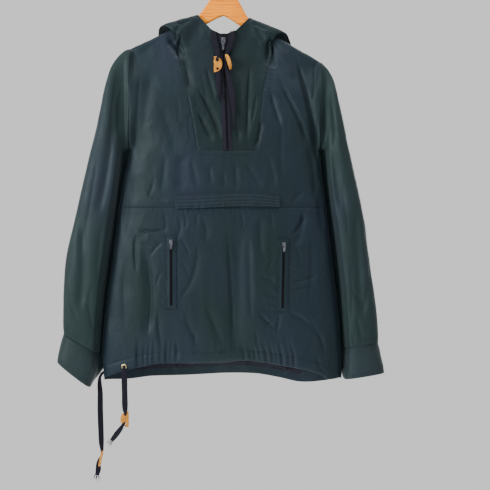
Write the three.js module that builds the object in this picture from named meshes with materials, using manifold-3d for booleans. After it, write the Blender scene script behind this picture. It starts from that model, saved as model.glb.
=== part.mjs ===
// Hooded pullover anorak smock hung on a wooden hanger, in millimetres.
// +X runs to the right as seen from the front, -Y is the front and +Z is up.
// The origin is the inside top of the hanger's hook, where a rod carries everything.
// Pieces are named by the wearer's sides, so right is towards -X.
import * as THREE from 'three';
import { mergeVertices } from 'three/addons/utils/BufferGeometryUtils.js';
import Module from 'manifold-3d';

const wasm = await Module();
wasm.setup();

// Driving sizes
const WALL = 1.6;
const SEAM = 0.3;
const HALF_SEAM = SEAM / 2;
const ARMHOLE_X = 200;
const ARMHOLE_DEPTH = 28;
const UNDERARM_Z = -415;
const RIGHT_SHOULDER_Z = -204.5;
const LEFT_SHOULDER_Z = -232;
const WAIST_Z = -538;
const SECTION_POWER = 2.6;
const RIDGE_HALF_DEPTH = 10;
const RIDGE_RADIUS = 9;
const RIDGE_POWER = 24;
const DRAPE_LENGTH = 70;
const SIDE_FADE = 20;
const FOLD_START = 0.25;
const FOLD_END = 0.2;
const GATHER_RISE = 45;
const ZIP_BOTTOM = { x: 6, z: -420 };
const ZIP_TOP = { x: -3, z: -179 };
const HANGER_TILT = THREE.MathUtils.degToRad(3);
const HANGER_THICKNESS = 11;
const HANGER_BEVEL = 2;
const HOOK_WIRE = 3.6;
const HOOK_RADIUS = 22;
const HOOK_BORE = { z: -75, length: 40 };
const CORD_WIDTH = 12;
const CORD_THICKNESS = 1.8;

// Grid sizes of the cloth walls
const PANEL_COLUMNS = 34;
const GATHERED_COLUMNS = 76;
const TUBE_SIDES = 20;
const SLEEVE_RINGS = 15;
const CUFF_RINGS = 2;
const HOOD_COLUMNS = 24;
const HOOD_ROWS = 12;

// Body between its side seams, and how far its front and back stand off them, by height
const BODY = [
  { z: -130, minX: -200, maxX: 200, front: 21, back: 24 },
  { z: -205, minX: -200, maxX: 200, front: 27, back: 29 },
  { z: -300, minX: -200, maxX: 200, front: 38, back: 36 },
  { z: -416, minX: -200, maxX: 200, front: 45, back: 41 },
  { z: -470, minX: -211, maxX: 204, front: 48, back: 43 },
  { z: -540, minX: -223, maxX: 213, front: 50, back: 44 },
  { z: -630, minX: -234, maxX: 224, front: 51, back: 45 },
  { z: -750, minX: -250, maxX: 237, front: 51, back: 45 },
  { z: -830, minX: -257, maxX: 243, front: 50, back: 44 },
  { z: -915, minX: -252, maxX: 245, front: 48, back: 43 },
];

// Shoulder line over the hanger, and the lower edges, by place across the body
const RIDGE = [
  { x: -200, z: -204.5 },
  { x: -187, z: -198 },
  { x: -171, z: -190.5 },
  { x: -138, z: -174.8 },
  { x: -102, z: -155 },
  { x: -60, z: -137 },
  { x: 0, z: -130 },
  { x: 50, z: -145 },
  { x: 93, z: -166 },
  { x: 127, z: -188 },
  { x: 158, z: -207 },
  { x: 177, z: -217.5 },
  { x: 200, z: -232 },
];
const FRONT_HEM = [
  { x: -258, z: -893 },
  { x: -203, z: -874 },
  { x: -175, z: -867 },
  { x: -134, z: -859 },
  { x: -60, z: -858 },
  { x: 0, z: -856 },
  { x: 30, z: -852.5 },
  { x: 66, z: -855 },
  { x: 108, z: -862 },
  { x: 170, z: -873 },
  { x: 203, z: -884 },
  { x: 214, z: -893 },
  { x: 245, z: -890 },
];
const BACK_HEM = [
  { x: -258, z: -898 },
  { x: -205, z: -899 },
  { x: -160, z: -894 },
  { x: -80, z: -892 },
  { x: 0, z: -888 },
  { x: 66, z: -889 },
  { x: 110, z: -896 },
  { x: 160, z: -906 },
  { x: 205, z: -903 },
  { x: 245, z: -894 },
];

// Soft troughs in the front: the crease runs from its top through its middle to its foot
const FRONT_FOLDS = [
  { topX: 28, topZ: -560, midX: 26, footX: 20, footZ: -850, width: 17, depth: 7 },
  { topX: -168, topZ: -600, midX: -156, footX: -164, footZ: -815, width: 11, depth: 5 },
  { topX: 166, topZ: -545, midX: 158, footX: 144, footZ: -620, width: 9, depth: 4 },
  { topX: 146, topZ: -215, midX: 182, footX: 196, footZ: -470, width: 13, depth: 5 },
  { topX: -150, topZ: -240, midX: -168, footX: -178, footZ: -440, width: 15, depth: 4 },
  { topX: -84, topZ: -425, midX: -92, footX: -88, footZ: -505, width: 14, depth: 3 },
];
const BACK_FOLDS = [
  { topX: -120, topZ: -430, midX: -135, footX: -140, footZ: -825, width: 22, depth: 7 },
  { topX: 20, topZ: -470, midX: 8, footX: 14, footZ: -830, width: 20, depth: 6 },
  { topX: 128, topZ: -420, midX: 140, footX: 150, footZ: -820, width: 22, depth: 7 },
];
// Gathers that the hem cord pulls up: where each starts and ends along the front hem
const GATHERS = [
  { from: -186, to: -92, count: 8, topZ: -800, lean: 3, width: 3.6, depth: 3.2 },
  { from: 36, to: 148, count: 10, topZ: -806, lean: -7, width: 3.8, depth: 3.0 },
];

// Sleeve rings from the armhole to the cuff: outer edge, inner edge and half depth
const RIGHT_SLEEVE = [
  { outX: -200, outZ: -204.5, inX: -200, inZ: -415, depth: 28 },
  { outX: -211, outZ: -210, inX: -207.5, inZ: -421, depth: 23 },
  { outX: -225, outZ: -224, inX: -213, inZ: -431, depth: 27 },
  { outX: -238, outZ: -247, inX: -217, inZ: -444, depth: 38 },
  { outX: -248, outZ: -282, inX: -220, inZ: -460, depth: 44 },
  { outX: -257, outZ: -325, inX: -223, inZ: -480, depth: 46 },
  { outX: -267, outZ: -373, inX: -226, inZ: -506, depth: 46 },
  { outX: -281, outZ: -430, inX: -230, inZ: -538, depth: 46 },
  { outX: -296, outZ: -492, inX: -236, inZ: -580, depth: 46 },
  { outX: -313, outZ: -566, inX: -243, inZ: -632, depth: 46 },
  { outX: -328, outZ: -632, inX: -250, inZ: -684, depth: 46 },
  { outX: -334, outZ: -692, inX: -256, inZ: -738, depth: 45 },
  { outX: -336, outZ: -746, inX: -261, inZ: -790, depth: 44 },
  { outX: -336, outZ: -799, inX: -263, inZ: -840, depth: 40 },
];
const LEFT_SLEEVE = [
  { outX: 200, outZ: -232, inX: 200, inZ: -415, depth: 28 },
  { outX: 210, outZ: -241, inX: 206, inZ: -422, depth: 22 },
  { outX: 220, outZ: -256, inX: 210, inZ: -432, depth: 26 },
  { outX: 230, outZ: -281, inX: 213, inZ: -446, depth: 37 },
  { outX: 238, outZ: -315, inX: 215, inZ: -464, depth: 43 },
  { outX: 246, outZ: -354, inX: 217, inZ: -487, depth: 45 },
  { outX: 255, outZ: -400, inX: 220, inZ: -515, depth: 45 },
  { outX: 266, outZ: -450, inX: 224, inZ: -549, depth: 45 },
  { outX: 279, outZ: -508, inX: 230, inZ: -590, depth: 45 },
  { outX: 291, outZ: -572, inX: 236, inZ: -640, depth: 45 },
  { outX: 301, outZ: -642, inX: 241.5, inZ: -692, depth: 45 },
  { outX: 309, outZ: -702, inX: 246, inZ: -744, depth: 44 },
  { outX: 316, outZ: -758, inX: 249, inZ: -790, depth: 43 },
  { outX: 320, outZ: -817, inX: 250, inZ: -828, depth: 40 },
];
const RIGHT_CUFF = [
  { outX: -337.5, outZ: -800, inX: -263.5, inZ: -841, depth: 38 },
  { outX: -344, outZ: -828, inX: -268, inZ: -875, depth: 38 },
  { outX: -350, outZ: -857, inX: -281, inZ: -911, depth: 38 },
];
const LEFT_CUFF = [
  { outX: 320.2, outZ: -817.7, inX: 250, inZ: -828.6, depth: 39 },
  { outX: 326, outZ: -849, inX: 249.5, inZ: -862, depth: 38 },
  { outX: 333, outZ: -880, inX: 249, inZ: -894, depth: 38 },
];
const RIGHT_SLEEVE_FOLDS = [
  { topX: -226, topZ: -330, midX: -240, footX: -262, footZ: -560, width: 9, depth: 6 },
  { topX: -300, topZ: -540, midX: -292, footX: -300, footZ: -760, width: 10, depth: 5 },
];
const LEFT_SLEEVE_FOLDS = [
  { topX: 214, topZ: -320, midX: 226, footX: 244, footZ: -560, width: 10, depth: 7 },
  { topX: 268, topZ: -520, midX: 276, footX: 284, footZ: -780, width: 10, depth: 5 },
];

// Hood columns on the wearer's right, from the zip round to the middle of the back.
// seam is where the column leaves the body, and lift how far it starts off the body there.
// bend pulls the column out, edge is the face edge, and cling is how closely it follows the chest.
const HOOD = [
  {
    seamX: 6, seamZ: -420, liftY: 0, liftZ: 0, bendX: 1.5, bendY: 0, bendZ: -299.5,
    edgeX: -3, edgeY: -20, edgeZ: -179, cling: 1,
  },
  {
    seamX: -30, seamZ: -420.5, liftY: 0, liftZ: 0, bendX: -19, bendY: 0, bendZ: -298,
    edgeX: -8, edgeY: -20, edgeZ: -176, cling: 1,
  },
  {
    seamX: -54, seamZ: -418, liftY: 0, liftZ: 0, bendX: -34, bendY: 0, bendZ: -295,
    edgeX: -14, edgeY: -20, edgeZ: -173, cling: 1,
  },
  {
    seamX: -60, seamZ: -390, liftY: 0, liftZ: 0, bendX: -40, bendY: 0, bendZ: -280,
    edgeX: -20, edgeY: -19, edgeZ: -170, cling: 1,
  },
  {
    seamX: -68, seamZ: -345, liftY: 0, liftZ: 0, bendX: -48, bendY: 0, bendZ: -255,
    edgeX: -28, edgeY: -18, edgeZ: -166, cling: 1,
  },
  {
    seamX: -79, seamZ: -290, liftY: 0, liftZ: 0, bendX: -58, bendY: 0, bendZ: -224,
    edgeX: -36, edgeY: -17, edgeZ: -158, cling: 1,
  },
  {
    seamX: -90, seamZ: -245, liftY: 0, liftZ: 0, bendX: -68, bendY: 0, bendZ: -196,
    edgeX: -44, edgeY: -15, edgeZ: -149, cling: 0.9,
  },
  {
    seamX: -100, seamZ: -208, liftY: -1, liftZ: 0, bendX: -88, bendY: -34, bendZ: -166,
    edgeX: -52, edgeY: -13, edgeZ: -140, cling: 0.5,
  },
  {
    seamX: -103, seamZ: -178, liftY: -2.4, liftZ: 1, bendX: -136, bendY: -30, bendZ: -156,
    edgeX: -57, edgeY: -9, edgeZ: -134, cling: 0.12,
  },
  {
    seamX: -103, seamZ: -155, liftY: 0, liftZ: 2.6, bendX: -186, bendY: 0, bendZ: -168,
    edgeX: -62, edgeY: 7, edgeZ: -133, cling: 0,
  },
  {
    seamX: -98, seamZ: -163, liftY: 2.4, liftZ: 1.4, bendX: -198, bendY: 50, bendZ: -208,
    edgeX: -76, edgeY: 34, edgeZ: -146, cling: 0,
  },
  {
    seamX: -80, seamZ: -167, liftY: 2.6, liftZ: 0.5, bendX: -190, bendY: 90, bendZ: -330,
    edgeX: -88, edgeY: 64, edgeZ: -161, cling: 0,
  },
  {
    seamX: -50, seamZ: -168, liftY: 2.6, liftZ: 0.5, bendX: -130, bendY: 106, bendZ: -520,
    edgeX: -70, edgeY: 92, edgeZ: -180, cling: 0,
  },
  {
    seamX: -20, seamZ: -168, liftY: 2.6, liftZ: 0.5, bendX: -60, bendY: 112, bendZ: -620,
    edgeX: -32, edgeY: 106, edgeZ: -192, cling: 0,
  },
  {
    seamX: 0, seamZ: -168, liftY: 2.6, liftZ: 0.5, bendX: 0, bendY: 112, bendZ: -645,
    edgeX: 0, edgeY: 110, edgeZ: -196, cling: 0,
  },
];
const RIDGE_ROW = 9;

// The wearer's left half of the hood hangs lower with the tilted hanger
const HOOD_DROP = 0.12;
const DROP_FREE_X = 7;
const DROP_FADE = { fromZ: -300, length: 80 };
const BACK_CENTRE_FADE = { fromY: 40, length: 30 };

// Neck opening: the cutting block reaches above the shoulders and out past the cloth
const ABOVE_NECK_Z = -60;
const PAST_CLOTH = 120;
const PAST_SEAM = 5;

// Front zip: each tape half, by its inner and outer edges from the seam below to the neck
const TAPE_HALF = 9.5;
const TAPE_WALL = 1.2;
const TAPE_LIFT = 0.6;
const TAPE_ROWS = [-419, -385, -350, -315, -280, -250, -222, -200];
const TAPE_NECK = [
  { innerX: -3.2, innerZ: -182, outerX: -12.6, outerZ: -188 },
  { innerX: -10, innerZ: -177.5, outerX: -17.5, outerZ: -185 },
  { innerX: -26, innerZ: -168, outerX: -31, outerZ: -176 },
];

// Chest pocket flap: upper and lower edge by place across
const FLAP = [
  { x: -101, topZ: -513.5, footZ: -539.5 },
  { x: -45, topZ: -510.5, footZ: -538.5 },
  { x: 10, topZ: -508, footZ: -535 },
  { x: 62, topZ: -508.5, footZ: -534.5 },
  { x: 114, topZ: -514.5, footZ: -536 },
];

// Hand pockets: the middle of each zip at its ends
const POCKETS = [
  { side: 'right', topX: -110, topZ: -597, footX: -109.5, footZ: -746 },
  { side: 'left', topX: 122.5, topZ: -602.5, footX: 119.5, footZ: -751 },
];
const TRIM_LIFT = 0.8;
const WELT_HALF = 10.8;
const WELT_WALL = 1.8;
const SLOT_HALF = 4.6;
const SLOT_END = 6;
const POCKET_TAPE_HALF = 4;

// Zip sliders: body width, height and thickness, then the bridge and the pull tab
const FRONT_SLIDER = { width: 9, height: 11, thick: 2.6, bridge: 3.2, half: 3, pullLength: 21, pullWidth: 5.6 };
const POCKET_SLIDER = { width: 7, height: 9, thick: 2.2, bridge: 2.8, half: 2.6, pullLength: 15, pullWidth: 5.2 };
const METAL = 1.2;
const BRIDGE_WIDTH = 2;
const TAB_TIP_SHARE = 0.3;
const TAB_SHOULDER = 3;
const FRONT_SLIDER_PLACE = { x: -3.4, z: -189 };

// Facing tape inside the back hem, measured up from the back hem
const HEM_TAPE = { fromX: -190, toX: 160, low: 16, high: 36 };

const EYELET = { x: -208, z: -866.5, outerR: 5.8, innerR: 3, thick: 1.6, rim: 0.7, lift: 0.6 };

// Hanger outline from the top of its head to its tip and back to the middle underneath
const HANGER_TOP = [
  [0, -80], [12, -82.5], [22, -91], [31, -103], [40, -118], [50, -133.5], [62, -144],
  [80, -154.5], [98, -165], [133, -186], [156, -199], [170, -206],
];
const HANGER_TIP = [[176, -211.5], [177, -217], [172, -220.5]];
const HANGER_UNDER = [[133, -206.5], [98, -188], [62, -168.5], [34, -152.5], [14, -140.5], [0, -134]];
const HANGER_PIVOT = { x: 3, z: -22 };

// Cord routes from where each leaves the garment to its frayed end
const HOOD_CORD_RIGHT = [
  [-24, -23.4, -173], [-24, -23.9, -182], [-19.8, -24, -196], [-15.2, -24.8, -212], [-13.6, -26.8, -232],
  [-13.6, -30.2, -256], [-12.8, -34.4, -280], [-11, -38.6, -306],
];
const HOOD_CORD_LEFT = [
  [16.5, -23.4, -171], [16.5, -23.9, -181], [13.4, -24, -194], [8.6, -24.5, -208], [2.6, -25.7, -222],
  [1.4, -28.1, -241], [6.5, -31.6, -263], [14, -36.2, -290], [18.5, -41.6, -330], [20.5, -45.6, -368],
];
const HEM_CORD_FRONT = [
  [-207.6, -39.8, -867.5], [-207.4, -41.2, -874], [-206.8, -41.4, -890], [-206.2, -40.6, -920],
  [-206, -40, -950], [-206.4, -40, -975], [-211, -40, -995], [-223, -40, -1012], [-238, -40, -1026],
];
const HEM_CORD_SIDE = [
  [-254.9, 0, -888], [-258, 0, -903], [-261.5, 0, -925], [-262, 0, -960], [-260.5, 0, -1000],
  [-259, 0, -1040], [-260, 0, -1065], [-265, 0, -1085], [-268, 0, -1102],
];

// Half-round toggles: where each one's straight side is, how it is turned about the vertical and leans
const TOGGLE = { height: 33, width: 17.5, thick: 4, roundness: 1.33 };
const TOGGLES = [
  { name: 'hood_toggle_right', x: -22.5, y: -33.8, z: -241, turn: 0, lean: 0 },
  { name: 'hood_toggle_left', x: 6.5, y: -30.6, z: -236, turn: -75, lean: -18 },
  { name: 'hem_toggle_front', x: -197.5, y: -43.3, z: -974, turn: 180, lean: 0 },
  { name: 'hem_toggle_side', x: -259, y: -6.6, z: -1062, turn: -90, lean: 12 },
];

// Materials
const finish = (color, roughness, metalness) => new THREE.MeshStandardMaterial({ color, roughness, metalness });
const SHELL_CLOTH = finish(0x2d3f48, 0.55, 0);
const NAVY_TAPE = finish(0x26242f, 0.8, 0);
const CORD_COTTON = finish(0x24222c, 0.9, 0);
const HANGER_WOOD = finish(0xe2a64c, 0.35, 0);
const HOOK_STEEL = finish(0xc8c8cc, 0.2, 1);
const TOGGLE_LEATHER = finish(0xc98f46, 0.6, 0);
const ZIP_METAL = finish(0xc9ccd0, 0.3, 1);
const EYELET_BRASS = finish(0xb9a57a, 0.35, 1);

const part = new THREE.Group();

function addMesh(name, geometry, material, parent = part) {
  const mesh = new THREE.Mesh(geometry, material);
  mesh.name = name;
  parent.add(mesh);
  return mesh;
}

// Value of a column of a table at a place between its rows, on one smooth curve
function smoothValue(table, place, column) {
  const count = table.length;
  const i = Math.min(count - 2, Math.max(0, Math.floor(place)));
  const f = Math.min(1, Math.max(0, place - i));
  const before = table[Math.max(0, i - 1)][column];
  const a = table[i][column];
  const b = table[i + 1][column];
  const after = table[Math.min(count - 1, i + 2)][column];
  const slopeA = i === 0 ? b - a : (b - before) / 2;
  const slopeB = i === count - 2 ? b - a : (after - a) / 2;
  const f2 = f * f;
  const f3 = f2 * f;
  return (2 * f3 - 3 * f2 + 1) * a + (f3 - 2 * f2 + f) * slopeA + (3 * f2 - 2 * f3) * b + (f3 - f2) * slopeB;
}

// Row place of a value in a table whose key column rises or falls steadily
function rowPlace(table, key, value) {
  const rising = table[1][key] > table[0][key];
  for (let i = 0; i < table.length - 1; i++) {
    const a = table[i][key];
    const b = table[i + 1][key];
    const last = i === table.length - 2;
    if (last || (rising ? value <= b : value >= b)) {
      return i + Math.min(1, Math.max(0, (value - a) / (b - a)));
    }
  }
  return 0;
}

const lookUp = (table, key, value, column) => smoothValue(table, rowPlace(table, key, value), column);
const softStep = (f) => {
  const c = Math.min(1, Math.max(0, f));
  return c * c * (3 - 2 * c);
};
const zipX = (z) => {
  const f = Math.min(1, Math.max(0, (z - ZIP_BOTTOM.z) / (ZIP_TOP.z - ZIP_BOTTOM.z)));
  return ZIP_BOTTOM.x + (ZIP_TOP.x - ZIP_BOTTOM.x) * f;
};

// Depth of the creases at a point seen from the front
function foldDepth(folds, x, z) {
  let sum = 0;
  for (const fold of folds) {
    const f = (z - fold.topZ) / (fold.footZ - fold.topZ);
    if (f <= 0 || f >= 1) continue;
    const straight = fold.topX + (fold.footX - fold.topX) * f;
    const bow = fold.midX - (fold.topX + fold.footX) / 2;
    const offset = (x - straight - bow * 4 * f * (1 - f)) / fold.width;
    sum += fold.depth * Math.exp(-offset * offset) * softStep(f / FOLD_START) * softStep((1 - f) / FOLD_END);
  }
  return sum;
}

// Depth of the gathers above the front hem
function gatherDepth(x, z) {
  let sum = 0;
  for (const gather of GATHERS) {
    const step = (gather.to - gather.from) / gather.count;
    const rise = softStep((gather.topZ - z) / GATHER_RISE);
    for (let i = 0; i < gather.count; i++) {
      const uneven = 1 + 0.35 * Math.sin(i * 2.4 + gather.count);
      const centre = gather.from + (i + 0.5 + 0.18 * Math.sin(i * 1.7)) * step + gather.lean * (1 - rise);
      const offset = (x - centre) / gather.width;
      sum += gather.depth * uneven * rise * Math.exp(-offset * offset);
    }
  }
  return sum;
}

// Half depth of the armhole oval at a height
function armholeHalfDepth(z, tipZ) {
  const half = (tipZ - UNDERARM_Z) / 2;
  const q = Math.abs(z - UNDERARM_Z - half) / half;
  return q >= 1 ? 0 : ARMHOLE_DEPTH * (1 - q ** SECTION_POWER) ** (1 / SECTION_POWER);
}

// Side seams at a height, and the row place in the body's table
function bodySides(z) {
  const place = rowPlace(BODY, 'z', z);
  return { place, minX: smoothValue(BODY, place, 'minX'), maxX: smoothValue(BODY, place, 'maxX') };
}

// Distance of the front or back cloth from the plane of the side seams
function standOff(x, z, column) {
  const { place, minX, maxX } = bodySides(z);
  const s = Math.min(1, Math.abs((x - (minX + maxX) / 2) / ((maxX - minX) / 2)));
  const full = (1 - s ** SECTION_POWER) ** (1 / SECTION_POWER);
  const below = Math.max(0, lookUp(RIDGE, 'x', x, 'z') - z);
  const turn = Math.sqrt(1 - (1 - Math.min(1, below / RIDGE_RADIUS)) ** 2);
  const drape = 1 - Math.exp(-below / DRAPE_LENGTH);
  const chest = turn * RIDGE_HALF_DEPTH + drape * (smoothValue(BODY, place, column) - RIDGE_HALF_DEPTH);
  const side = armholeHalfDepth(z, x < 0 ? RIGHT_SHOULDER_Z : LEFT_SHOULDER_Z);
  const overHanger = turn * RIDGE_HALF_DEPTH * Math.sqrt(1 - s ** RIDGE_POWER);
  return Math.max(side * (1 - full) + chest * full, overHanger);
}

// Creases fade out at the side seams, so that front and back still meet there
function sideFade(x, z) {
  const { minX, maxX } = bodySides(z);
  return softStep(Math.min(x - minX, maxX - x) / SIDE_FADE);
}

function frontY(x, z) {
  const creases = foldDepth(FRONT_FOLDS, x, z) + gatherDepth(x, z);
  return -Math.max(HALF_SEAM, standOff(x, z, 'front') - creases * sideFade(x, z));
}

function backY(x, z) {
  return Math.max(HALF_SEAM, standOff(x, z, 'back') - foldDepth(BACK_FOLDS, x, z) * sideFade(x, z));
}

// Closed wall between two grids of points; a ring wall also joins its last column to its first
function wallGeometry(outer, inner, ring) {
  const columns = outer.length;
  const rows = outer[0].length;
  const positions = [];
  for (const grid of [outer, inner]) {
    for (const column of grid) {
      for (const p of column) positions.push(p.x, p.y, p.z);
    }
  }
  const at = (layer, i, j) => layer * columns * rows + (i % columns) * rows + j;
  const index = [];
  const quad = (a, b, c, d) => index.push(a, b, c, a, c, d);
  const lastColumn = ring ? columns : columns - 1;
  for (let i = 0; i < lastColumn; i++) {
    for (let j = 0; j < rows - 1; j++) {
      quad(at(0, i, j), at(0, i + 1, j), at(0, i + 1, j + 1), at(0, i, j + 1));
      quad(at(1, i, j), at(1, i, j + 1), at(1, i + 1, j + 1), at(1, i + 1, j));
    }
    quad(at(0, i, 0), at(1, i, 0), at(1, i + 1, 0), at(0, i + 1, 0));
    quad(at(0, i, rows - 1), at(0, i + 1, rows - 1), at(1, i + 1, rows - 1), at(1, i, rows - 1));
  }
  if (!ring) {
    for (let j = 0; j < rows - 1; j++) {
      quad(at(0, 0, j), at(0, 0, j + 1), at(1, 0, j + 1), at(1, 0, j));
      quad(at(0, columns - 1, j), at(1, columns - 1, j), at(1, columns - 1, j + 1), at(0, columns - 1, j + 1));
    }
  }
  const geometry = new THREE.BufferGeometry();
  geometry.setAttribute('position', new THREE.Float32BufferAttribute(positions, 3));
  geometry.setIndex(index);
  return facingOut(geometry);
}

// Turns the faces over where they enclose a negative volume
function facingOut(geometry) {
  const p = geometry.attributes.position;
  const index = geometry.index.array;
  const [a, b, c] = [new THREE.Vector3(), new THREE.Vector3(), new THREE.Vector3()];
  let volume = 0;
  for (let k = 0; k < index.length; k += 3) {
    a.fromBufferAttribute(p, index[k]);
    b.fromBufferAttribute(p, index[k + 1]);
    c.fromBufferAttribute(p, index[k + 2]);
    volume += a.dot(b.cross(c));
  }
  if (volume < 0) {
    for (let k = 0; k < index.length; k += 3) {
      [index[k + 1], index[k + 2]] = [index[k + 2], index[k + 1]];
    }
  }
  return geometry;
}

// Unit normals of a grid of points, from its neighbours
function gridNormals(grid, ring) {
  const columns = grid.length;
  const rows = grid[0].length;
  return grid.map((column, i) => column.map((p, j) => {
    const before = ring ? grid[(i + columns - 1) % columns] : grid[Math.max(0, i - 1)];
    const after = ring ? grid[(i + 1) % columns] : grid[Math.min(columns - 1, i + 1)];
    const across = after[j].clone().sub(before[j]);
    const along = column[Math.min(rows - 1, j + 1)].clone().sub(column[Math.max(0, j - 1)]);
    return across.cross(along).normalize();
  }));
}

// Wall from its outer points, thickened towards the side that inward says; settle trims inner points
function clothWall(grid, ring, inward, settle) {
  const normals = gridNormals(grid, ring);
  const inner = grid.map((column, i) => column.map((p, j) => {
    const q = p.clone().addScaledVector(normals[i][j], inward * WALL);
    settle?.(q, p, i, j);
    return q;
  }));
  return wallGeometry(grid, inner, ring);
}

function toSolid(geometry) {
  const plain = geometry.clone();
  plain.deleteAttribute('normal');
  plain.deleteAttribute('uv');
  const merged = mergeVertices(plain, 1e-3);
  const vertProperties = new Float32Array(merged.attributes.position.array);
  const triVerts = new Uint32Array(merged.index.array);
  return new wasm.Manifold(new wasm.Mesh({ numProp: 3, vertProperties, triVerts }));
}

function toGeometry(solid) {
  const mesh = solid.getMesh();
  const geometry = new THREE.BufferGeometry();
  geometry.setAttribute('position', new THREE.Float32BufferAttribute(mesh.vertProperties, 3));
  geometry.setIndex(new THREE.Uint32BufferAttribute(mesh.triVerts, 1));
  return geometry;
}

// Block with an outline seen from the front, from one depth to another
function frontPrism(outline, fromY, toY) {
  const shape = new THREE.Shape(outline.map(([x, z]) => new THREE.Vector2(x, z)));
  const geometry = new THREE.ExtrudeGeometry(shape, { depth: toY - fromY, bevelEnabled: false });
  geometry.rotateX(Math.PI / 2);
  geometry.translate(0, toY, 0);
  return geometry;
}

// Point of a seam column on the hood's table, before it is mirrored for the other side
function seamPoint(place) {
  const x = smoothValue(HOOD, place, 'seamX');
  const z = smoothValue(HOOD, place, 'seamZ');
  const y = place < RIDGE_ROW ? frontY(x, z) : backY(x, z);
  return new THREE.Vector3(x, y, z);
}

function liftedSeamPoint(place) {
  const lift = new THREE.Vector3(0, smoothValue(HOOD, place, 'liftY'), smoothValue(HOOD, place, 'liftZ'));
  return seamPoint(place).add(lift);
}

// The wearer's left half mirrors the right one about the zip in front, and about x = 0 behind
function toWearersLeft(p) {
  const high = softStep((p.z - DROP_FADE.fromZ) / DROP_FADE.length);
  const drop = HOOD_DROP * Math.max(0, Math.abs(p.x) - DROP_FREE_X) * high;
  const behind = p.y > BACK_CENTRE_FADE.fromY - BACK_CENTRE_FADE.length;
  const backCentre = ZIP_TOP.x * softStep((BACK_CENTRE_FADE.fromY - p.y) / BACK_CENTRE_FADE.length);
  const centre = behind ? backCentre : zipX(p.z);
  return new THREE.Vector3(2 * centre - p.x, p.y, p.z - drop);
}

const hoodPlaces = Array.from({ length: HOOD_COLUMNS + 1 }, (_, i) => (i * (HOOD.length - 1)) / HOOD_COLUMNS);

function hoodPoint(place, v, leftSide) {
  const value = (column) => smoothValue(HOOD, place, column);
  const seam = liftedSeamPoint(place);
  const bend = new THREE.Vector3(value('bendX'), value('bendY'), value('bendZ'));
  const edge = new THREE.Vector3(value('edgeX'), value('edgeY'), value('edgeZ'));
  const p = seam.clone().multiplyScalar((1 - v) ** 2);
  p.addScaledVector(bend, 2 * v * (1 - v)).addScaledVector(edge, v * v);
  const q = leftSide ? toWearersLeft(p) : p;
  const cling = value('cling');
  const chest = frontY(q.x, q.z) + (value('edgeY') - frontY(q.x, q.z)) * v ** 3;
  q.y = q.y * (1 - cling) + chest * cling;
  return q;
}

// Neck and chest opening seen from the front: the seam of both hood halves, a little larger
function insertOutline(first, last, grow) {
  const places = hoodPlaces.filter((place) => place >= first && place <= last);
  const right = places.map((place) => {
    const p = seamPoint(place);
    return new THREE.Vector3(p.x, 0, p.z);
  });
  const left = places.map((place) => {
    const p = seamPoint(place);
    return toWearersLeft(new THREE.Vector3(p.x, p.y, p.z));
  });
  if (first === 0) right.reverse();
  else left.reverse();
  const outline = [...right, ...left.slice(1)].map((p) => [p.x, p.z]);
  const grown = outline.map(([x, z], i) => {
    const [x0, z0] = outline[Math.max(0, i - 1)];
    const [x1, z1] = outline[Math.min(outline.length - 1, i + 1)];
    const length = Math.hypot(x1 - x0, z1 - z0);
    return [x - (z0 - z1) / length * grow, z - (x1 - x0) / length * grow];
  });
  return grown;
}

// Body panel grid: columns across the section, rows from the top edge to the lower edge
function bodyGrid(columns, rowFractions, topZ, footZ, depthY) {
  const grid = [];
  for (let i = 0; i <= columns; i++) {
    const angle = (Math.PI * i) / columns;
    const s = -Math.sign(Math.cos(angle)) * Math.abs(Math.cos(angle)) ** (2 / SECTION_POWER);
    const column = rowFractions.map((f) => {
      let x = s * ARMHOLE_X;
      let z = 0;
      for (let pass = 0; pass < 3; pass++) {
        const top = topZ(x);
        z = top + (footZ(x) - top) * f;
        const { minX, maxX } = bodySides(z);
        x = (minX + maxX) / 2 + (s * (maxX - minX)) / 2;
      }
      return new THREE.Vector3(x, depthY(x, z), z);
    });
    grid.push(column);
  }
  return grid;
}

const ridgeZ = (x) => lookUp(RIDGE, 'x', x, 'z');
const frontHemZ = (x) => lookUp(FRONT_HEM, 'x', x, 'z');
const backHemZ = (x) => lookUp(BACK_HEM, 'x', x, 'z');

// Rows of the body panels as shares of their height, close together where the cloth rolls over
const UPPER_ROWS = [0, 0.006, 0.02, 0.045, 0.1, 0.2, 0.33, 0.47, 0.6, 0.73, 0.86, 1];
const LOWER_ROWS = [0, 0.14, 0.29, 0.44, 0.58, 0.7, 0.8, 0.87, 0.94, 1];
const BACK_ROWS = [0, 0.003, 0.01, 0.022, 0.05, 0.1, 0.18, 0.28, 0.4, 0.52, 0.65, 0.78, 0.9, 1];

// Keeps the inner points of a body panel on its own side of the seams; side is -1 in front and 1 behind
function settleBody(q, p, i, j, rows, columns, side, topIsRidge) {
  q.y = side * Math.max(side * q.y, HALF_SEAM);
  if (p.z > UNDERARM_Z) q.x = Math.min(ARMHOLE_X, Math.max(-ARMHOLE_X, q.x));
  if (i === 0 || i === columns) {
    const open = p.z > UNDERARM_Z;
    const shift = open ? 0 : Math.sign(i - 1) * WALL;
    q.set(p.x - shift, open ? side * Math.max(side * p.y - WALL, HALF_SEAM) : p.y, p.z);
  }
  if (j === rows || (j === 0 && !topIsRidge)) q.z = p.z;
  if (j === 0 && topIsRidge) q.set(p.x, p.y, p.z - WALL);
}

// Takes the neck opening out of a panel, from one depth to another
function withNeckCut(geometry, outline, fromY, toY) {
  const first = outline[0][0];
  const last = outline[outline.length - 1][0];
  const block = [[first, ABOVE_NECK_Z], ...outline, [last, ABOVE_NECK_Z]];
  return toGeometry(toSolid(geometry).subtract(toSolid(frontPrism(block, fromY, toY))));
}

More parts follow.
